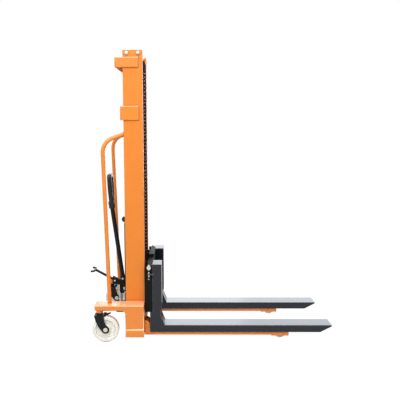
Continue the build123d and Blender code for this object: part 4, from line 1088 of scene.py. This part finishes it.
@dataclass
class LeverFittings(SubAssembly):
    """Clamp bolt and pivot nuts of the pump lever, pins of its pedal root, and the lowering knob.

    Attributes:
        lean_deg: Lean of the lever from upright.
        socket_back: Distance of the socket's axis behind the pivot.
        socket_radius: Outer radius of the lever's socket.
        clamp_up: Distance of the clamp bolt up the socket.
        clamp_sunk: How far its nuts reach into the socket.
        clamp: Size of its nuts.
        pin_back: Distance of the pedal root's pin behind the pivot.
        pin_up: Height of that pin over the pivot.
        pin_depth: Distance of its heads from the middle plane.
        pin_radius: Radius of its heads.
        pin_tall: Height of its heads.
        pivot: Size of the pivot's nuts.
        knob_growth: Size of the lowering knob against its node's.
        jam_tall: Height of the nut that locks the knob.
        jam_buried: Share of that nut that is hidden in the knob.
    """

    lean_deg: float = 7.6
    socket_back: float = 5 * MM
    socket_radius: float = 19 * MM
    clamp_up: float = 70 * MM
    clamp_sunk: float = 0.8 * MM
    clamp: NutSize = NutSize(17 * MM, 8 * MM, 4 * MM)
    pin_back: float = 74 * MM
    pin_up: float = 52 * MM
    pin_depth: float = 10.6 * MM
    pin_radius: float = 7 * MM
    pin_tall: float = 5 * MM
    pivot: NutSize = NutSize(24 * MM, 9 * MM, 6 * MM)
    knob_growth: float = 1.3
    jam_tall: float = 7 * MM
    jam_buried: float = 0.6

    def build_bolts(self) -> None:
        """Clamp the lever in its socket and put pin heads on the pedal root."""
        pivot = Vector(joint_of("lever_swing")["pos_m"])
        lean = math.radians(self.lean_deg)
        clamp = pivot + Vector((-self.socket_back - self.clamp_up * math.sin(lean), 0,
                                self.clamp_up * math.cos(lean)))
        root = pivot + Vector((-self.pin_back, 0, self.pin_up))
        socket = self.socket_radius - self.clamp_sunk
        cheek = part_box("rocker_cheeks")[1].y
        nuts, pins, pivots = [], [], []
        for side in SIDES.values():
            away = outward(side).vector()
            nuts.append(hex_nut(clamp + away * socket, away, self.clamp))
            pins.append(domed_head(root + away * self.pin_depth, away, self.pin_radius, self.pin_tall))
            pivots.append(hex_nut(pivot + away * cheek, away, self.pivot))
        self.add(join("lever_clamp_bolt", nuts), "pump_lever", Slot.ZINC)
        self.add(join("pedal_pins", pins), "pump_lever", Slot.ZINC)
        self.add(join("rocker_pivot_nuts", pivots), "chassis", Slot.ZINC)

    def build_knob(self) -> None:
        """Fill the lowering knob out to a full ball that stands on its rod."""
        growth = self.knob_growth
        middle = middle_of("release_knob")
        knob = copy_of("release_knob", "release_knob_ball")
        resize_all(knob, (growth, growth, growth), (middle.x, middle.y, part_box("release_knob")[0].z))
        settle(knob, "release_knob_ball")
        self.add(knob, "release", Slot.PLASTIC)
        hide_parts("release_knob")

    def build_jam_nut(self) -> None:
        """Lock the lowering knob with a nut."""
        centre, radius = foot_of("release_rod")
        seat = Vector((centre.x, centre.y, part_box("release_knob")[0].z - self.jam_tall * self.jam_buried))
        size = NutSize(across=radius * 4, tall=self.jam_tall, stud=radius * 1.1)
        nut = hex_nut(seat, Direction.DOWN.vector(), size)
        self.add(join("knob_jam_nut", [nut]), "release", Slot.ZINC)

    def build(self) -> None:
        """Build all lever fittings."""
        self.build_bolts()
        self.build_knob()
        self.build_jam_nut()


@dataclass
class RamFittings(SubAssembly):
    """Wiper seal and bleed screw of the lift ram.

    Attributes:
        rod_radius: Radius of the ram's rod.
        seal_gap: Gap between rod and seal.
        seal_tall: Height of the seal.
        seal_wide: Outer radius of the seal over the rod's.
        bleed_drop: Distance of the bleed screw below the gland.
        bleed_sunk: How far the screw reaches into the barrel.
        bleed: Size of the screw's hexagon and nipple.
    """

    rod_radius: float = 20 * MM
    seal_gap: float = 0.4 * MM
    seal_tall: float = 5 * MM
    seal_wide: float = 8 * MM
    bleed_drop: float = 30 * MM
    bleed_sunk: float = 1 * MM
    bleed: NutSize = NutSize(14 * MM, 7 * MM, 3.5 * MM)

    def build(self) -> None:
        """Build the seal on the gland and the bleed screw below it."""
        low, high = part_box("lift_cylinder")
        axis_x = joint_of("chain_wheel_spin")["pos_m"][0]
        seal = flat_ring(Vector((axis_x, 0, high.z)), Direction.UP.vector(),
                         self.rod_radius + self.seal_gap, self.rod_radius + self.seal_wide, self.seal_tall)
        self.add(join("ram_wiper_seal", [seal]), "chassis", Slot.PLASTIC)
        seat = Vector((low.x + self.bleed_sunk, 0, high.z - self.bleed_drop))
        screw = hex_nut(seat, Direction.BACK.vector(), self.bleed)
        self.add(join("ram_bleed_screw", [screw]), "chassis", Slot.ZINC)


@dataclass
class CasterFittings(SubAssembly):
    """Axle washers and bearing covers of the casters.

    Attributes:
        washer: Inner radius, outer radius and thickness of an axle washer.
        cover: The same of a bearing cover.
        cover_sunk: How far a cover is let into the wheel.
    """

    washer: Triple = (7 * MM, 15 * MM, 2.0 * MM)
    cover: Triple = (9 * MM, 22 * MM, 1.8 * MM)
    cover_sunk: float = 1.0 * MM

    def ring_pair(self, node: str, axle: Vector, sunk: float, sizes: Triple) -> list[Piece]:
        """Put a ring on either face of a node.

        Args:
            node: Name of the CAD node that carries the rings.
            axle: A point on their axis.
            sunk: How far each ring is let into its face.
            sizes: Inner radius, outer radius and thickness.

        Returns:
            The two settled rings.
        """
        low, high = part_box(node)
        rings = []
        for side, face in ((-1, low.y), (1, high.y)):
            seat = Vector((axle.x, face - side * sunk, axle.z))
            rings.append(flat_ring(seat, outward(side).vector(), *sizes))
        return rings

    def build(self) -> None:
        """Build the fittings of both casters."""
        for name in SIDES:
            axle = middle_of(f"caster_axle_{name}")
            washers = self.ring_pair(f"caster_fork_{name}", axle, 0.0, self.washer)
            self.add(join(f"caster_washers_{name}", washers), f"caster_{name}", Slot.ZINC)
            covers = self.ring_pair(f"caster_wheel_{name}", axle, self.cover_sunk, self.cover)
            self.add(join(f"caster_bearing_covers_{name}", covers), f"caster_wheel_{name}", Slot.STEEL)


# CAD nodes


@dataclass
class CadNodes:
    """CAD nodes that stay: their finishes, and live modifiers that round cut and folded plate.

    Attributes:
        palette: Materials shared by the whole machine.
        segments: Facets of a rounding.
        widths_mm: Width of the rounding by node, or by what a right and a left node have in common.
    """

    palette: Palette
    segments: int = 2
    widths_mm: dict[str, float] = field(default_factory=lambda: {
        "mast_top_bracket": 3.5, "mast_mid_bracket": 3.5, "mast_channel": 1.5, "leg": 2.0, "fork": 1.2,
        "carriage_frame": 1.2, "pump_body": 1.2, "rocker_cheeks": 1.0, "foot_pedal": 0.8,
        "caster_fork": 0.9, "brake_pedal": 0.7})

    def round_edges(self, piece: Piece, width: float) -> None:
        """Round the sharp edges of a node with live modifiers.

        Args:
            piece: The node's object.
            width: Width of the rounding.
        """
        weld = piece.modifiers.new("weld", "WELD")
        weld.merge_threshold = CAD_MERGE
        plain = piece.modifiers.new("plain", "DECIMATE")
        plain.decimate_type = "DISSOLVE"
        plain.angle_limit = FLAT_ANGLE
        bevel = piece.modifiers.new("bevel", "BEVEL")
        bevel.width = width
        bevel.segments = self.segments
        bevel.use_clamp_overlap = False
        bevel.limit_method = "ANGLE"
        bevel.angle_limit = SHARP_ANGLE

    def build(self) -> None:
        """Dress every node with its own or its slot's finish, and round those on the list."""
        for part in frame["record"]["subparts"]:
            node = part["node"]
            piece = frame["nodes"][node]
            self.palette.dress(piece, OWN_FINISH.get(node, SLOT_FINISH[Slot(part["material_slot"])]))
            stem = node.removesuffix("_right").removesuffix("_left")
            if stem in self.widths_mm:
                self.round_edges(piece, self.widths_mm[stem] * MM)
            LOG.info("dressed %s", node)


# Studio


@dataclass(frozen=True)
class Lamp:
    """A soft rectangular lamp.

    Attributes:
        name: Name of the lamp.
        place: Where it hangs.
        aim: Point that it faces.
        size: Width and height.
        watts: Power.
        tint: sRGB colour of its light.
    """

    name: str
    place: Triple
    aim: Triple
    size: tuple[float, float]
    watts: float
    tint: str = WHITE

    def hang(self) -> None:
        """Add the lamp to the scene."""
        light = bpy.data.lights.new(self.name, "AREA")
        light.shape = "RECTANGLE"
        light.size, light.size_y = self.size
        light.energy = self.watts
        light.color = linear(self.tint)[:3]
        lamp = bpy.data.objects.new(self.name, light)
        bpy.context.scene.collection.objects.link(lamp)
        lamp.location = self.place
        lamp.rotation_euler = (Vector(self.aim) - Vector(self.place)).to_track_quat("-Z", "Y").to_euler()
        lamp.visible_camera = False


# Two soft lamps in front, one overhead, and behind the truck the panels that the forks mirror.
DAYLIGHT = "#F3F7FF"
LAMPS = (
    Lamp("key", (-2.4, -3.6, 3.4), aim=(-0.2, 0, 0.8), size=(2.6, 2.6), watts=62),
    Lamp("fill", (0.2, -4.2, 3.9), aim=(-0.2, 0, 0.6), size=(2.4, 2.0), watts=75),
    Lamp("top", (0.0, -1.0, 4.4), aim=(0.0, -0.6, 0), size=(4.0, 3.8), watts=150),
    Lamp("panel", (0.8, 3.6, 1.5), aim=(0.3, 0, 0.5), size=(4.4, 1.9), watts=80, tint=DAYLIGHT),
    Lamp("panel_near_mast", (-0.3, 3.6, 1.5), aim=(-0.3, 0, 0.5), size=(2.0, 1.9), watts=9, tint=DAYLIGHT),
)


@dataclass
class Studio:
    """Plain white studio with soft lamps and the reference camera.

    Attributes:
        ambient: Strength of the even light from all round.
        mirrored: Share of plain white that reflections see.
        floor_glow: Share of plain white that the camera sees in the floor.
        floor_white: Strength of that white, which makes up for the share.
        floor_colour: sRGB colour of the floor in the lamps' light.
        floor_size: Width of the floor.
        camera_place: Where the camera stands.
        camera_turn_deg: Its yaw from straight across, its pitch below level and its roll.
        lens_mm: Its focal length.
        sensor_mm: Width of its sensor.
        shift: Shift of its frame, in widths of the picture.
        sight: How far it sees.
    """

    ambient: float = 0.32
    mirrored: float = 0.4
    floor_glow: float = 0.86
    floor_white: float = 1.14
    floor_colour: str = "#D4D4D4"
    floor_size: float = 120.0
    camera_place: Triple = (-0.2014, -3.8875, 1.4874)
    camera_turn_deg: Triple = (-0.983, 6.827, -0.316)
    lens_mm: float = 48.618
    sensor_mm: float = 36.0
    shift: tuple[float, float] = (0.07575, -0.0325)
    sight: float = 200.0

    def seen_directly(self, tree: Tree) -> Socket:
        """Return one where a ray comes from the camera or a clear body, and less where it is a reflection.

        Args:
            tree: Node tree that receives the nodes.

        Returns:
            Value output.
        """
        path = add_node(tree, "ShaderNodeLightPath", {})
        mirror = add_node(tree, "ShaderNodeMath", {
            0: path.outputs["Is Glossy Ray"], 1: self.mirrored}, operation="MULTIPLY")
        first = add_node(tree, "ShaderNodeMath", {
            0: path.outputs["Is Camera Ray"], 1: mirror.outputs[0]}, operation="MAXIMUM")
        both = add_node(tree, "ShaderNodeMath", {
            0: first.outputs[0], 1: path.outputs["Is Transmission Ray"]}, operation="MAXIMUM")
        return both.outputs[0]

    def build_world(self) -> None:
        """Light the scene evenly and show white to the camera and in reflections."""
        world = bpy.data.worlds.new("studio")
        bpy.context.scene.world = world
        world.use_nodes = True
        tree = world.node_tree
        tree.nodes.clear()
        even = add_node(tree, "ShaderNodeBackground", {"Color": linear(WHITE), "Strength": self.ambient})
        white = add_node(tree, "ShaderNodeBackground", {"Color": linear(WHITE), "Strength": 1.0})
        mixed = add_node(tree, "ShaderNodeMixShader", {
            0: self.seen_directly(tree), 1: even.outputs["Background"], 2: white.outputs["Background"]})
        add_node(tree, "ShaderNodeOutputWorld", {"Surface": mixed.outputs["Shader"]})

    def build_floor(self) -> None:
        """Lay a pale floor that keeps a faint shadow."""
        bpy.ops.object.select_all(action="DESELECT")
        bpy.ops.mesh.primitive_plane_add(size=self.floor_size, location=(0, 0, 0))
        floor = bpy.context.object
        floor.name = "studio_floor"
        material, tree = blank_material("pale_floor")
        share = add_node(tree, "ShaderNodeMath", {
            0: self.seen_directly(tree), 1: self.floor_glow}, operation="MULTIPLY")
        matt = add_node(tree, "ShaderNodeBsdfDiffuse", {"Color": linear(self.floor_colour)})
        white = add_node(tree, "ShaderNodeEmission", {"Color": linear(WHITE), "Strength": self.floor_white})
        mixed = add_node(tree, "ShaderNodeMixShader", {
            0: share.outputs[0], 1: matt.outputs["BSDF"], 2: white.outputs["Emission"]})
        add_node(tree, "ShaderNodeOutputMaterial", {"Surface": mixed.outputs["Shader"]})
        floor.data.materials.append(material)

    def build_camera(self) -> None:
        """Place the camera as the reference view has it."""
        data = bpy.data.cameras.new("camera")
        data.sensor_width = self.sensor_mm
        data.lens = self.lens_mm
        data.shift_x, data.shift_y = self.shift
        data.clip_end = self.sight
        camera = bpy.data.objects.new("camera", data)
        bpy.context.scene.collection.objects.link(camera)
        yaw, pitch, roll = (math.radians(angle) for angle in self.camera_turn_deg)
        level = Euler((math.pi / 2 - pitch, 0, -yaw)).to_matrix()
        turned = level @ Matrix.Rotation(roll, 3, "Z")
        camera.matrix_world = Matrix.Translation(self.camera_place) @ turned.to_4x4()
        bpy.context.scene.camera = camera

    def build(self) -> None:
        """Build the whole studio."""
        self.build_world()
        self.build_floor()
        for lamp in LAMPS:
            lamp.hang()
        self.build_camera()
        bpy.context.scene.view_settings.view_transform = "Standard"


def main() -> None:
    """Build the looks of the stacker."""
    logging.basicConfig(level=logging.INFO, format="%(name)s: %(message)s")
    palette = Palette()
    for assembly in (CadNodes, MastFittings, LiftChain, PumpFittings, LeverFittings, RamFittings,
                     CasterFittings):
        assembly(palette).build()
    Studio().build()


if __name__ == "__main__":
    main()
